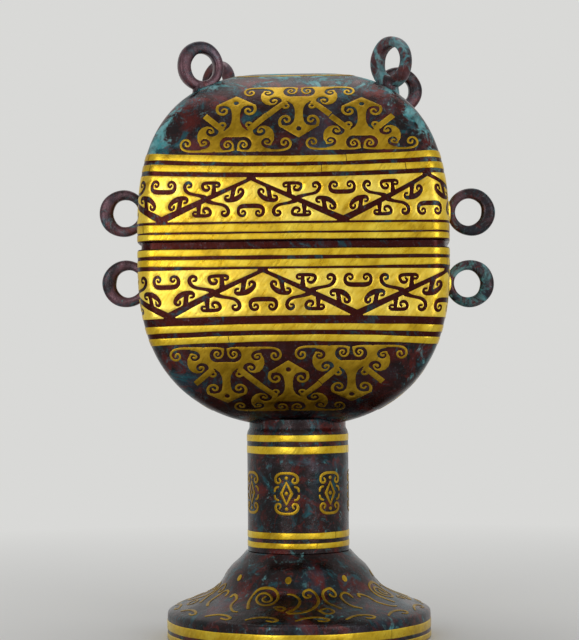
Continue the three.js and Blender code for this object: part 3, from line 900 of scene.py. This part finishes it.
def nearest(x, y, start, end):
    """The nearest point of a straight line: how far along it lies, as a share, and how far off it is."""
    dx, dy = end[0] - start[0], end[1] - start[1]
    share = np.clip(((x - start[0]) * dx + (y - start[1]) * dy) / max(dx * dx + dy * dy, 1e-9), 0, 1)
    return share, np.hypot(x - start[0] - dx * share, y - start[1] - dy * share)


def within(x, y, walls):
    """Which points lie inside closed lines: those with an odd number of walls on one side of them."""
    inside = np.zeros(np.shape(x), bool)
    for (x0, y0), (x1, y1) in walls:
        if y0 != y1:
            spans = (y0 <= y) != (y1 <= y)
            inside ^= spans & (x < x0 + (y - y0) * (x1 - x0) / (y1 - y0))
    return inside


print("a line can cross a grid square in", len([way for way in CROSSINGS if way]), "ways")

# %% [markdown]
# The drawing itself holds the field. A curl is a stroke with a half width at each of its points, and a
# broad shape is a polygon. The finished sheet follows two lines of the field: the cut edge, and the line
# just inside it where the eased edge ends.

# %% Drawing cut sheet gold
class Drawing:
    """Flat ornament, in millimetres."""

    def __init__(self, left, low, right, high, step=0.13):
        self.xs = np.arange(left, right + step, step)
        self.ys = np.arange(low, high + step, step)
        self.step = step
        self.field = np.full((len(self.ys), len(self.xs)), -5.0)

    def put(self, value, cut=False, part=(slice(None), slice(None))):
        """Adds a shape to the gold, or cuts it away."""
        if cut:
            self.field[part] = np.minimum(self.field[part], -value)
        else:
            self.field[part] = np.maximum(self.field[part], value)

    def stroke(self, line, cut=False, smooth=2):
        """A stroke along (x, y, half width) points."""
        line = smooth_line(line, smooth)
        for (x0, y0, w0), (x1, y1, w1) in zip(line[:-1], line[1:]):
            reach = max(w0, w1) + 0.7
            left, right = np.searchsorted(self.xs, (min(x0, x1) - reach, max(x0, x1) + reach))
            low, high = np.searchsorted(self.ys, (min(y0, y1) - reach, max(y0, y1) + reach))
            x = self.xs[None, left:right]
            y = self.ys[low:high, None]
            share, off = nearest(x, y, (x0, y0), (x1, y1))
            self.put(w0 + (w1 - w0) * share - off, cut, (slice(low, high), slice(left, right)))

    def pair(self, line, cut=False, smooth=2):
        """A stroke and its mirror image about the upright axis."""
        line = np.array(line, float)
        self.stroke(line, cut, smooth)
        self.stroke(line * (-1, 1, 1), cut, smooth)

    def disc(self, x, y, radius, cut=False):
        """A round dot or hole."""
        self.stroke([(x, y, radius), (x + 0.01, y, radius)], cut, 0)

    def polygon(self, corners, cut=False):
        """A flat with straight sides."""
        x, y = np.meshgrid(self.xs, self.ys)
        near = np.full(x.shape, 9.0)
        sides = list(zip(corners, corners[1:] + corners[:1]))
        for start, end in sides:
            near = np.minimum(near, nearest(x, y, start, end)[1])
        self.put(np.where(within(x, y, sides), near, -near), cut)

    def at(self, points):
        """The field at any points."""
        u = np.clip((points[:, 0] - self.xs[0]) / self.step, 0, len(self.xs) - 1.001)
        v = np.clip((points[:, 1] - self.ys[0]) / self.step, 0, len(self.ys) - 1.001)
        i, j = u.astype(int), v.astype(int)
        u, v = u - i, v - j
        f = self.field
        return (f[j, i] * (1 - u) * (1 - v) + f[j, i + 1] * u * (1 - v)
                + f[j + 1, i] * (1 - u) * v + f[j + 1, i + 1] * u * v)

    def loops(self, level):
        """The closed lines where the field crosses a level, with the gold on their left."""
        above = self.field > level
        case = above[:-1, :-1] + 2 * above[:-1, 1:] + 4 * above[1:, 1:] + 8 * above[1:, :-1]
        after = {}
        for j, i in np.argwhere((case > 0) & (case < 15)):
            edges = {"b": (j, i, 0), "r": (j, i + 1, 1), "t": (j + 1, i, 0), "l": (j, i, 1)}
            for start, end in CROSSINGS[case[j, i]].split():
                after[edges[start]] = edges[end]
        found = []
        while after:
            first, edge = next(iter(after.items()))
            line = [self.crossing(first, level)]
            del after[first]
            while edge != first:
                line.append(self.crossing(edge, level))
                edge = after.pop(edge)
            found.append(np.array(line))
        return found

    def crossing(self, edge, level):
        """Where the field passes the level on one edge of the grid."""
        j, i, upright = edge
        one = self.field[j, i]
        other = self.field[j + 1, i] if upright else self.field[j, i + 1]
        t = (level - one) / (other - one) * self.step
        return (self.xs[i] + (0 if upright else t), self.ys[j] + (t if upright else 0))

    def sheet(self, seed=1, thick=0.5, ease=0.13, drop=0.045, grain=1.3):
        """A closed sheet of gold: flat points (x, y, off the wall) and faces."""
        points, edges, outer = [], [], []
        for level in (0.0, ease):
            for loop in self.loops(level):
                line = thinned(loop)
                if len(line) < 4:
                    continue
                first = len(points)
                points += line.tolist()
                ring = [(first + k, first + (k + 1) % len(line)) for k in range(len(line))]
                edges += ring
                outer += ring if level == 0 else []
        random = np.random.default_rng(seed)
        loose = np.array([(x, y) for y in np.arange(self.ys[0], self.ys[-1], grain)
                          for x in np.arange(self.xs[0], self.xs[-1], grain)])
        loose += random.uniform(-0.25, 0.25, loose.shape)
        loose = loose[self.at(loose) > ease + 0.35]
        walls = np.array(points)[np.array(outer)]
        made = delaunay_2d_cdt([Vector(p) for p in points + loose.tolist()], edges, [], 0, 1e-5)
        flat = np.array([tuple(v) for v in made[0]])
        faces = np.array(made[2])
        middle = flat[faces].mean(axis=1)
        faces = faces[within(middle[:, 0], middle[:, 1], walls)]
        a, b, c = (flat[faces[:, k]] for k in range(3))
        turn = (b[:, 0] - a[:, 0]) * (c[:, 1] - a[:, 1]) - (b[:, 1] - a[:, 1]) * (c[:, 0] - a[:, 0])
        faces[turn < 0] = faces[turn < 0][:, ::-1]
        used, faces = np.unique(faces, return_inverse=True)
        faces = faces.reshape(-1, 3)
        flat = flat[used]
        face_off = -drop * (1 - np.clip(self.at(flat) / ease, 0, 1))
        count = len(flat)
        solid = np.r_[np.c_[flat, face_off], np.c_[flat, np.full(count, -thick)]]
        sides = {(int(p), int(q)) for f in faces for p, q in ((f[0], f[1]), (f[1], f[2]), (f[2], f[0]))}
        rim = [(q, p, p + count, q + count) for p, q in sides if (q, p) not in sides]
        return solid, faces.tolist() + (faces[:, ::-1] + count).tolist() + rim


print("the drawing tools are ready")

# %% [markdown]
# Each wide band is a row of triangular gold sheets that point up and down in turn. The dark bed shows
# between them as the zigzag, and inside each sheet as five curls cut through the gold.

# %% The zigzag sheets
HALF_PITCH = 34.87
PANEL_HALF = 8.8
VERTEX = 8.19  # how far the zigzag's corners lie above and below its middle line
BOLD = 1.1  # the curls are cut this many times as wide as drawn


def zigzag_sheet(at_apex, at_corner):
    """One sheet, tip up. The two half widths are the dark zigzag's on its side, at the tip and corners."""
    art = Drawing(-36, -9.4, 36, 9.4)
    slant = math.hypot(HALF_PITCH, 2 * VERTEX)
    run, fall = HALF_PITCH / slant, 2 * VERTEX / slant
    right = [(0.0, VERTEX - at_apex * 1.15)]
    for share in (0.25, 0.5, 0.75, 0.95):
        half = at_apex + (at_corner - at_apex) * share
        right.append((HALF_PITCH * share - fall * half, VERTEX - 2 * VERTEX * share - run * half))
    right.append((HALF_PITCH - 1.6 * at_corner - 0.6, -PANEL_HALF))
    art.polygon(right + [(-x, y) for x, y in reversed(right[1:])])
    bar = [(0, -2.6, 0.82), (3.0, -2.6, 0.82), (4.5, -3.2, 0.7), (4.95, -4.8, 0.6), (4.4, -6.2, 0.55),
           (3.1, -6.7, 0.48), (2.0, -6.0, 0.43), (2.1, -4.9, 0.4), (3.0, -4.5, 0.38), (3.4, -5.2, 0.33)]
    stem = [(6.6, 4.9, 1.0), (6.9, 3.4, 0.85), (7.1, 1.6, 0.8), (7.6, 0.0, 0.72)]
    curl = [(8.2, -0.3, 0.7), (6.4, -0.1, 0.95), (4.6, 0.8, 0.88), (3.3, 2.1, 0.7), (2.9, 3.3, 0.58),
            (3.8, 4.2, 0.5), (4.9, 3.6, 0.45), (4.8, 2.7, 0.38)]
    hook = [(7.5, -0.3, 0.8), (9.2, -0.5, 0.68), (10.1, 0.2, 0.52), (9.8, 1.3, 0.43), (8.8, 1.4, 0.36)]
    tail = [(16.8, -0.6, 0.95), (15.0, -1.4, 0.6), (12.7, -1.8, 0.52), (10.3, -2.3, 0.58), (8.9, -3.6, 0.68),
            (8.5, -5.3, 0.66), (9.7, -6.6, 0.58), (11.2, -6.1, 0.5), (11.2, -4.8, 0.42), (10.1, -4.7, 0.34)]
    post = [(20.3, -2.2, 1.0), (20.3, -4.2, 0.72), (20.3, -6.2, 0.66)]
    base = [(20.6, -6.4, 0.62), (18.2, -6.45, 0.62), (15.9, -6.2, 0.6), (15.6, -4.9, 0.58),
            (16.5, -3.5, 0.56), (18.1, -3.5, 0.5), (18.6, -4.6, 0.44), (17.8, -5.2, 0.38)]
    ear = [(20.2, -6.45, 0.55), (21.8, -6.5, 0.55), (22.6, -5.8, 0.48), (22.1, -4.9, 0.42),
           (21.2, -5.0, 0.36)]
    for line in (bar, stem, curl, hook, tail, post, base, ear):
        art.pair([(x, y, half * BOLD) for x, y, half in line], cut=True)
    for x in (-HALF_PITCH, HALF_PITCH):
        art.disc(x, -VERTEX, 0.9 + at_corner, cut=True)
    return art.sheet(seed=3)


def zigzag_band(sheets, wall, vertices, first_is_top, low, high):
    """Twelve sheets, each stretched between its neighbours' corners."""
    count = len(vertices)
    pieces = []
    for k, here in enumerate(vertices):
        top = (k % 2 == 0) == first_is_top
        flat, faces = sheets[0 if top else 1]
        before = here - vertices[k - 1] + (wall.girth_length if k == 0 else 0)
        after = vertices[(k + 1) % count] - here + (wall.girth_length if k == count - 1 else 0)
        across, up = (flat[:, 0], flat[:, 1]) if top else (-flat[:, 0], -flat[:, 1])
        around = here + across / HALF_PITCH * np.where(across < 0, before, after)
        level = low + (up + PANEL_HALF) / (2 * PANEL_HALF) * (high - low)
        pieces.append((np.c_[around, bent(wall, around, level), flat[:, 2]], faces))
    return joined(*pieces)


def all_vertices(seen, wall):
    """The corners that show, and the rest shared out evenly round the back."""
    gap = (seen[0] + wall.girth_length - seen[-1]) / (13 - len(seen))
    return seen + [seen[-1] + gap * k for k in range(1, 13 - len(seen))]


sheets = zigzag_sheet(0.6, 1.35), zigzag_sheet(1.3, 0.75)
lid_corners = all_vertices([-49.57, -15.47, 19.74, 52.83], lid_wall)
bowl_corners = all_vertices([-48.44, -10.96, 25.2, 60.22], bowl_wall)
band = zigzag_band(sheets, lid_wall, lid_corners, False, 7.3, 24.5)
belongs(wrap("lid_zigzag", band, lid_wall, panel_gold), "lid", "gold", "lid_zigzag_gold_panel")
band = zigzag_band(sheets, bowl_wall, bowl_corners, False, -26.1, -8.2)
belongs(wrap("bowl_zigzag", band, bowl_wall, panel_gold), "base", "gold", "bowl_zigzag_gold_panel")

# %% [markdown]
# The shoulders hold scrolled T figures that stand on their bars and hang from them in turn, three to
# the front, three to the back and one on each end. One drawing serves all of them.

# %% The T figures
FIGURE_HEIGHT = 25.9


def t_figure():
    """One figure that stands on its bar, drawn about the upright axis."""
    art = Drawing(-22.5, -0.8, 22.5, 26.6)
    body = [(5.4, 9.1), (7.4, 9.6), (9.2, 10.7), (11.0, 11.1), (12.8, 10.5), (14.1, 9.1), (14.7, 7.2),
            (14.6, 5.0), (13.7, 3.2), (13.2, 0.2)]
    art.polygon(body + [(-x, y) for x, y in reversed(body)])
    art.pair([(11.2, 13.0, 0.9), (9.2, 11.9, 0.9), (7.8, 10.5, 0.85), (7.2, 8.7, 0.8), (7.9, 7.5, 0.7),
              (9.6, 7.1, 0.6), (11.0, 8.1, 0.5), (10.8, 9.5, 0.42), (9.7, 9.9, 0.36), (9.1, 9.1, 0.3)],
             cut=True)
    art.pair([(15.6, 1.9, 0.75), (12.6, 1.9, 0.66), (10.7, 2.6, 0.6), (10.1, 4.0, 0.54), (10.9, 5.2, 0.46),
              (12.4, 5.4, 0.4), (13.2, 4.4, 0.35), (12.6, 3.5, 0.3), (11.8, 3.8, 0.25)], cut=True)
    art.pair([(3.1, 3.4, 3.0), (3.11, 3.4, 3.0)], cut=True, smooth=0)
    art.stroke([(-2, 5.3, 1.0), (2, 5.3, 1.0)], cut=True, smooth=0)
    art.polygon([(-0.5, -1), (0.5, -1), (0.5, 5), (-0.5, 5)], cut=True)
    art.pair([(1.9, -0.3, 0.55), (0.4, 0.1, 0.55)], cut=True, smooth=0)
    art.pair([(7.5, 0.42, 0.42), (3.3, 0.44, 0.4), (1.7, 0.7, 0.38), (1.0, 1.9, 0.37), (1.05, 3.3, 0.36),
              (2.0, 4.6, 0.36), (3.5, 4.6, 0.35), (4.4, 3.4, 0.34), (4.1, 2.3, 0.33), (3.1, 1.95, 0.32),
              (2.5, 2.7, 0.31), (3.0, 3.3, 0.3)])
    art.pair([(9.0, 0.5, 0.5), (14, 0.48, 0.46), (17.8, 0.5, 0.44), (20.4, 1.3, 0.44), (21.2, 3.5, 0.42),
              (20.1, 5.3, 0.41), (18.4, 5.5, 0.4), (17.3, 4.3, 0.38), (17.7, 2.8, 0.37), (18.9, 2.7, 0.36),
              (19.2, 3.9, 0.34)])
    head = [(0, FIGURE_HEIGHT), (7.3, 21.0), (7.7, 19.6), (6.4, 20.5), (4.6, 20.8), (3.0, 20.3), (2.0, 19.0),
            (1.6, 17.0), (1.5, 14.6), (1.7, 12.6), (2.5, 10.6), (4.0, 9.3), (4.2, 8.0)]
    art.polygon(head + [(-x, y) for x, y in reversed(head[1:])])
    art.pair([(7.0, 20.6, 0.6), (7.5, 18.8, 0.55), (6.8, 17.0, 0.5), (5.0, 16.2, 0.48), (3.5, 17.2, 0.45),
              (3.6, 18.8, 0.42), (4.9, 19.2, 0.38), (5.5, 18.2, 0.35)])
    for sign in (1, -1):
        art.polygon([(sign * x, y) for x, y in ((4.1, 10.0), (11.2, 16.8), (12.7, 14.9), (5.6, 8.3))])
    art.pair([(5.9, 9.4, 0.6), (6.5, 10.9, 0.5), (5.9, 12.4, 0.46), (4.5, 12.6, 0.43), (3.8, 11.5, 0.4),
              (4.5, 10.7, 0.36)])
    art.disc(0, 22.0, 1.0, cut=True)
    return art.sheet(seed=7)


def stand_figure(flat, wall, middle, bar, tip, end=False, stretch=1.0):
    """A figure laid on a shoulder: its bar and tip at these arcs from the rim, its middle at this x."""
    points, faces = flat
    arc = bar + (tip - bar) * points[:, 1] / FIGURE_HEIGHT
    hangs = 1 if tip > bar else -1
    level = wall.level_at(arc)
    around = wall.girth_at(middle + hangs * points[:, 0] * stretch, level, end)
    return np.c_[around, level, points[:, 2]], faces


figure = t_figure()
# Each place: the x of the figure's middle, then where its bar and its tip lie, along the wall from the rim.
for name, wall, body, sides, ends in (
    ("lid_figures", lid_wall, "lid",
     ((-21.3, 33.9, 58.4), (2.8, 63.9, 39.3), (26.8, 34.3, 57.1)), (0, 63.9, 39.3)),
    ("bowl_figures", bowl_wall, "base",
     ((-25.8, -37.6, -61.9), (-2.0, -67.3, -43.0), (21.9, -37.3, -61.4)), (0, -67.3, -43.0)),
):
    front = joined(*(stand_figure(figure, wall, *place) for place in sides))
    half = wall.girth_length / 2
    belongs(wrap(name, front, wall, scroll_gold, 2, half), body, "gold")
    one = stand_figure(figure, wall, *ends, end=True, stretch=0.9)
    belongs(wrap(name + "_on_ends", one, wall, scroll_gold, 2, half, half / 2), body, "gold")

# %% [markdown]
# Cloud scrolls of thin gold wire run round the foot, four times the same drift, with round dots between
# them. They are drawn at the radius where most of them lie and spread with the flare of the foot.

# %% Cloud scrolls of the foot
FOOT_SHARE = 0.69  # radius where most scrolls lie, as a share of the rim's
# Each scroll goes through points of (how far round the foot's rim, how far up along its side), in mm.
CLOUDS = (
    ((-23.5, 22.5), (-27.5, 28.5), (-27, 34), (-19.5, 35.5), (-13, 34.5), (-10, 31), (-11.5, 27),
     (-15.5, 25), (-20.5, 26.5), (-24, 30), (-23, 32.5), (-18.5, 33), (-14.5, 31), (-13.5, 28.5),
     (-17, 27.5), (-20, 29.5), (-18.5, 31)),
    ((-42.5, 29.5), (-42.5, 31), (-39, 30.5), (-36, 28.5), (-36, 26), (-35, 23.5), (-30, 19.5),
     (-27.5, 19.5)),
    ((-2.5, 19.5), (3, 20), (7.5, 22), (11.5, 26), (13, 29), (12.5, 32.5), (9.5, 34.5), (7, 34.5),
     (4.5, 33.5), (4.5, 31.5), (6.5, 30.5), (8.5, 31), (9, 32), (7.5, 32)),
    ((22, 22.5), (19.5, 25), (17, 27), (16, 31), (17, 33.5), (19.5, 34.5), (22.5, 35), (24.5, 33.5), (25, 32),
     (23.5, 30.5), (21.5, 31), (21, 32)),
    ((32.5, 21.5), (29, 23.5), (27, 27), (27, 30.5), (28.5, 32), (31.5, 32.5), (34, 31.5), (34.5, 29.5)),
    ((-3.5, 20.5), (-0.5, 22.5), (2.5, 27), (2, 30.5), (-2, 32.5), (-5, 32.5)),
)
TEARS = (
    ((-10.5, 24), (-8, 25), (-4.5, 23.5), (-6.5, 21)),
    ((11, 21.5), (16, 23.5), (18.5, 20), (14, 18)),
)


def cloud_scrolls():
    """One drift of clouds, a quarter of the way round the foot."""
    art = Drawing(-33, 8, 33, 41)
    for line in CLOUDS:
        widths = np.linspace(0.62, 0.45, len(line))
        art.stroke([(s * FOOT_SHARE, level, w) for (s, level), w in zip(line, widths)])
    for tear in TEARS:
        closed = [(s * FOOT_SHARE, level) for s, level in tear]
        art.stroke([(x, y, 0.5) for x, y in closed + closed[:1]])
    for k in range(4):
        x = -28 + 14.2 * k
        art.stroke([(x, 14.2, 0.4), (x + 2.6, 16.2, 0.55), (x + 6.4, 16.6, 0.55), (x + 9.4, 14.8, 0.5),
                    (x + 8.2, 13.2, 0.45), (x + 6.2, 14.0, 0.4)])
    art.disc(-5.5 * FOOT_SHARE, 38.5, 1.55)
    art.disc(36 * FOOT_SHARE, 38.5, 1.4)
    points, faces = art.sheet(seed=11)
    return points / (FOOT_SHARE, 1, 1), faces


quarter = foot_wall.girth_length / 4
belongs(wrap("foot_clouds", cloud_scrolls(), foot_wall, scroll_gold, 4, quarter), "base", "gold")

# %% [markdown]
# The stem carries seven plain ornaments of gold between its strips: a lozenge with a curl at each
# corner. A thin gold line also rings the crest of the lid.

# %% Stem ornaments and the crest line
def stem_ornament():
    """A lozenge with a curl at each corner."""
    art = Drawing(-6, -9, 6, 9)
    art.stroke([(0, 4.4, 0.3), (2.1, 0, 0.6), (0, -4.4, 0.3), (-2.1, 0, 0.6), (0, 4.4, 0.3)], smooth=0)
    art.disc(0, 0, 0.75)
    for sign in (1, -1):
        art.pair([(0.2, sign * 7.9, 0.5), (2.6, sign * 7.8, 0.55), (4.4, sign * 6.6, 0.55),
                  (4.6, sign * 4.6, 0.5), (3.2, sign * 3.8, 0.45), (2.2, sign * 4.8, 0.4),
                  (2.9, sign * 5.8, 0.35)])
        art.pair([(4.9, sign * 0.9, 0.4), (4.6, sign * 2.2, 0.45), (3.4, sign * 2.6, 0.4)])
    art.disc(0, 6.0, 0.7)
    art.disc(0, -6.0, 0.7)
    return art.sheet(seed=13)


ORNAMENTS = 7
ORNAMENT_MIDDLE = 57.6
FIRST_ORNAMENT = -11 / 360  # of a turn, from the middle of the front
flat, faces = stem_ornament()
raised = flat + (0, ORNAMENT_MIDDLE, 0)
girth = stem_wall.girth_length
ornaments = wrap("stem_ornaments", (raised, faces), stem_wall, scroll_gold, ORNAMENTS, girth / ORNAMENTS,
                 FIRST_ORNAMENT * girth)
belongs(ornaments, "base", "gold")
crest = strip_lengths([-60, 90], 66.3, 66.9, lid_wall, 31, step=2.4)
belongs(wrap("lid_crest_line", crest, lid_wall, scroll_gold), "lid", "gold")

# %% [markdown]
# The rings are castings: thick rounded bands that stand on a spread root. Their sections bulge a little
# here and there, as a lost wax casting does.

# %% Cast rings
CAST_SHARP = math.radians(50)


def swept_ring(outer, hole, thick, seed, heavy=0.0, uneven=0.25, square=0.62, steps=72, around=26):
    """A closed round band about the Y axis, with softly squared edges, thicker towards one angle."""
    random = np.random.default_rng(seed)
    phase = random.uniform(0, 6.28, 4)
    points = []
    for i in range(steps):
        a = 2 * math.pi * i / steps
        half = (outer - hole) / 2 * (1 + uneven * math.cos(a - math.radians(heavy)))
        middle = outer - half
        slim = 1 - 0.045 * (1 + math.sin(2 * a + phase[0])) - 0.02 * (1 + math.sin(5 * a + phase[1]))
        for j in range(around):
            b = 2 * math.pi * j / around
            c, s = math.cos(b), math.sin(b)
            across = math.copysign(abs(c) ** square, c) * half * slim
            ripple = slim + 0.02 * math.sin(3 * a + phase[2]) - 0.02
            deep = math.copysign(abs(s) ** square, s) * thick / 2 * ripple
            radius = middle + across
            points.append((radius * math.cos(a), deep, radius * math.sin(a)))
    return np.array(points), grid_faces(steps, around, True, True)


def spread_root(stations, around=24):
    """A closed stub through (height, half width, half depth) stations along Z, squarish in section."""
    points = []
    for height, wide, deep in stations:
        for j in range(around):
            b = 2 * math.pi * j / around
            c, s = math.cos(b), math.sin(b)
            across = math.copysign(abs(c) ** 0.75, c) * wide
            points.append((across, math.copysign(abs(s) ** 0.75, s) * deep, height))
    faces = grid_faces(len(stations), around, columns_closed=True)
    faces.append(tuple(reversed(range(around))))
    faces.append(tuple(range(len(points) - around, len(points))))
    return np.array(points), faces


def plain_piece(name, flat, finish, place=(0, 0, 0), turn=0.0):
    """A piece from points and faces in mm, turned about Z and put in its place."""
    points, faces = flat
    c, s = math.cos(math.radians(turn)), math.sin(math.radians(turn))
    points = points @ np.array([[c, s, 0], [-s, c, 0], [0, 0, 1]]) + place
    return new_piece(name, (points * MM).tolist(), faces, finish, CAST_SHARP)


def mark_crust(piece, amount):
    """Says how much green crust a casting carries."""
    layer = piece.data.attributes.new("ridge", "FLOAT", "POINT")
    layer.data.foreach_set("value", np.full(len(piece.data.vertices), amount, np.float32))


# Each side ring: its CAD node, its body, its side, how far its middle stands out past the rim, its height
SIDE_RINGS = (
    ("lid_left_ring", "lid", -1, 8.4, LID_RIM + 14.4),
    ("lid_right_ring", "lid", 1, 9.2, LID_RIM + 13.4),
    ("bowl_left_ring", "base", -1, 7.4, BOWL_RIM - 11.2),
    ("bowl_right_ring", "base", 1, 8.4, BOWL_RIM - 12.5),
)
for index, (name, body, side, reach, height) in enumerate(SIDE_RINGS):
    ring, ring_faces = swept_ring(9.68, 5.1, 4.35, 40 + index, 0 if side > 0 else 180)
    stations = [(-reach - 2.6, 4.6, 2.3), (-reach - 0.2, 4.3, 2.15), (-reach + 0.8, 3.7, 2.05),
                (-8.6, 3.5, 1.9), (-6.8, 3.2, 1.7)]
    if reach < 8:
        stations = [(-10.4, 4.4, 2.2), (-7.9, 4.2, 2.1), (-6.8, 3.4, 1.8)]
    root, root_faces = spread_root(stations)
    root = root[:, [2, 1, 0]]
    root_faces = [tuple(reversed(face)) for face in root_faces]
    if side < 0:
        root = root * (-1, 1, 1)
        root_faces = [tuple(reversed(face)) for face in root_faces]
    both = joined((ring, ring_faces), (root, root_faces))
    centre = (side * (HALF_WIDTH + reach), 0, height)
    piece = plain_piece(name + "_cast", both, ring_bronze, centre)
    mark_crust(piece, (0.1, 0.2, 0.0, 0.4)[index])
    belongs(piece, body, "ring_bronze", name)
    if side > 0:
        gilding, gilding_faces = spread_root(
            [(-reach - 0.4, 4.7, 2.4), (-reach + 0.4, 4.5, 2.3), (-reach + 0.9, 4.1, 2.1)])
        gilding_faces = [tuple(reversed(face)) for face in gilding_faces]
        collar = (gilding[:, [2, 1, 0]], gilding_faces)
        belongs(plain_piece(name + "_root_gilding", collar, panel_gold, centre), body, "gold")

# Each top ring: its corner, the x, y and height of its middle, its turn, how tall and how wide it is as a
# share of a round one, the angle where it is thickest, and how much crust it carries
TOP_RINGS = (
    ("front_left", -36.05, -21.47, 224.58, 22, 1.0, 0.92, 150, 0.0),
    ("front_right", 38.37, -19.04, 225.24, -44, 1.05, 1.0, 200, 0.55),
    ("back_left", -32.16, 19.52, 224.78, -46, 0.9, 0.9, 90, 0.0),
    ("back_right", 42.02, 18.47, 220.15, 12, 0.97, 1.0, 20, 0.2),
)
for index, (corner, x, y, middle, turn, tall, wide, heavy, crust) in enumerate(TOP_RINGS):
    ring, ring_faces = swept_ring(9.98, 5.1, 4.95, 50 + index, heavy, 0.2)
    root, root_faces = spread_root([(-17.5, 3.9, 3.0), (-11.2, 3.2, 2.7), (-9.6, 3.0, 2.45), (-8.0, 3.2, 2.3),
                                    (-6.4, 3.0, 2.1)])
    both = joined((ring * (wide, 1, tall), ring_faces), (root * (1, 1, tall), root_faces))
    name = "lid_top_ring_" + corner
    piece = plain_piece(name + "_cast", both, ring_bronze, (x, y, middle), turn)
    mark_crust(piece, crust)
    belongs(piece, "lid", "ring_bronze", name)

# %% [markdown]
# The floor is a plain pale sheet, wide enough to fill the view, and fades into the backdrop. The lamps are
# three big soft panels, on the left, on the right and above. The camera and the reflections see the
# backdrop's pale colour all round, and a plain grey light from there reaches the matt surfaces.

# %% Floor, lamps and world
def pale_sheet_material():
    """Matt paper near the object, fading with distance into the plain pale backdrop."""
    made, tree = finish_material("pale_paper")
    paper = node(tree, "ShaderNodeBsdfDiffuse", {"Color": linear("#dcdcda")})
    place = node(tree, "ShaderNodeTexCoord").outputs["Object"]
    away = node(tree, "ShaderNodeVectorMath", {0: place}, operation="LENGTH").outputs["Value"]
    glow = node(tree, "ShaderNodeEmission", {"Color": linear(BACKDROP)})
    rays = node(tree, "ShaderNodeLightPath").outputs
    seen = node(tree, "ShaderNodeMath", {0: rays["Is Camera Ray"], 1: rays["Is Glossy Ray"]},
                operation="MAXIMUM")
    faded = node(tree, "ShaderNodeMapRange", {"Value": away, "From Min": 0.1, "From Max": 0.55})
    amount = node(tree, "ShaderNodeMath", {0: seen.outputs[0], 1: faded.outputs[0]}, operation="MULTIPLY")
    either = node(tree, "ShaderNodeMixShader", {
        0: amount.outputs[0], 1: paper.outputs[0], 2: glow.outputs[0],
    })
    node(tree, "ShaderNodeOutputMaterial", {"Surface": either.outputs[0]})
    return made


BACKDROP = "#d9d9d7"
floor_mesh = bpy.data.meshes.new("floor")
floor_mesh.from_pydata([(-6, -6, 0), (6, -6, 0), (6, 6, 0), (-6, 6, 0)], [], [(0, 1, 2, 3)])
floor_mesh.materials.append(pale_sheet_material())
floor = bpy.data.objects.new("floor", floor_mesh)
scene.collection.objects.link(floor)


def lamp(name, place, target, size, power):
    """A soft panel aimed at a point."""
    data = bpy.data.lights.new(name, "AREA")
    data.shape = "RECTANGLE"
    data.size, data.size_y = size
    data.energy = power
    made = bpy.data.objects.new(name, data)
    made.location = place
    aim = (target[0] - place[0], target[1] - place[1], target[2] - place[2])
    made.rotation_mode = "QUATERNION"
    made.rotation_quaternion = Vector(aim).to_track_quat("-Z", "Y")
    scene.collection.objects.link(made)


MIDDLE = (0, 0, 0.12)
lamp("left_panel", (-0.6, -1.35, 0.3), MIDDLE, (0.55, 0.75), 4.2)
lamp("right_panel", (0.8, -1.15, 0.35), MIDDLE, (0.5, 0.75), 3.2)
lamp("top_panel", (-0.1, 0.25, 1.3), MIDDLE, (1.0, 0.9), 4.6)

world = bpy.data.worlds.new("studio")
world.use_nodes = True
sky = world.node_tree
sky.nodes.clear()
rays = node(sky, "ShaderNodeLightPath").outputs
seen = rays["Is Camera Ray"]
for other in ("Is Glossy Ray", "Is Transmission Ray"):
    seen = node(sky, "ShaderNodeMath", {0: seen, 1: rays[other]}, operation="MAXIMUM").outputs[0]
plain = node(sky, "ShaderNodeBackground", {"Color": linear("#c8c8c8"), "Strength": 0.8})
pale = node(sky, "ShaderNodeBackground", {"Color": linear(BACKDROP)})
either = node(sky, "ShaderNodeMixShader", {0: seen, 1: plain.outputs[0], 2: pale.outputs[0]})
node(sky, "ShaderNodeOutputWorld", {"Surface": either.outputs[0]})
scene.world = world
print("lamps:", [item.name for item in bpy.data.lights])

# %% [markdown]
# Every CAD node has a finer piece that stands for it by now, so what is left is to take away the helper
# curves.

# %% Clear the helper lines and finish
for item in [item for item in bpy.data.objects if item.name.endswith(("_girth", "_upright"))]:
    bpy.data.objects.remove(item)
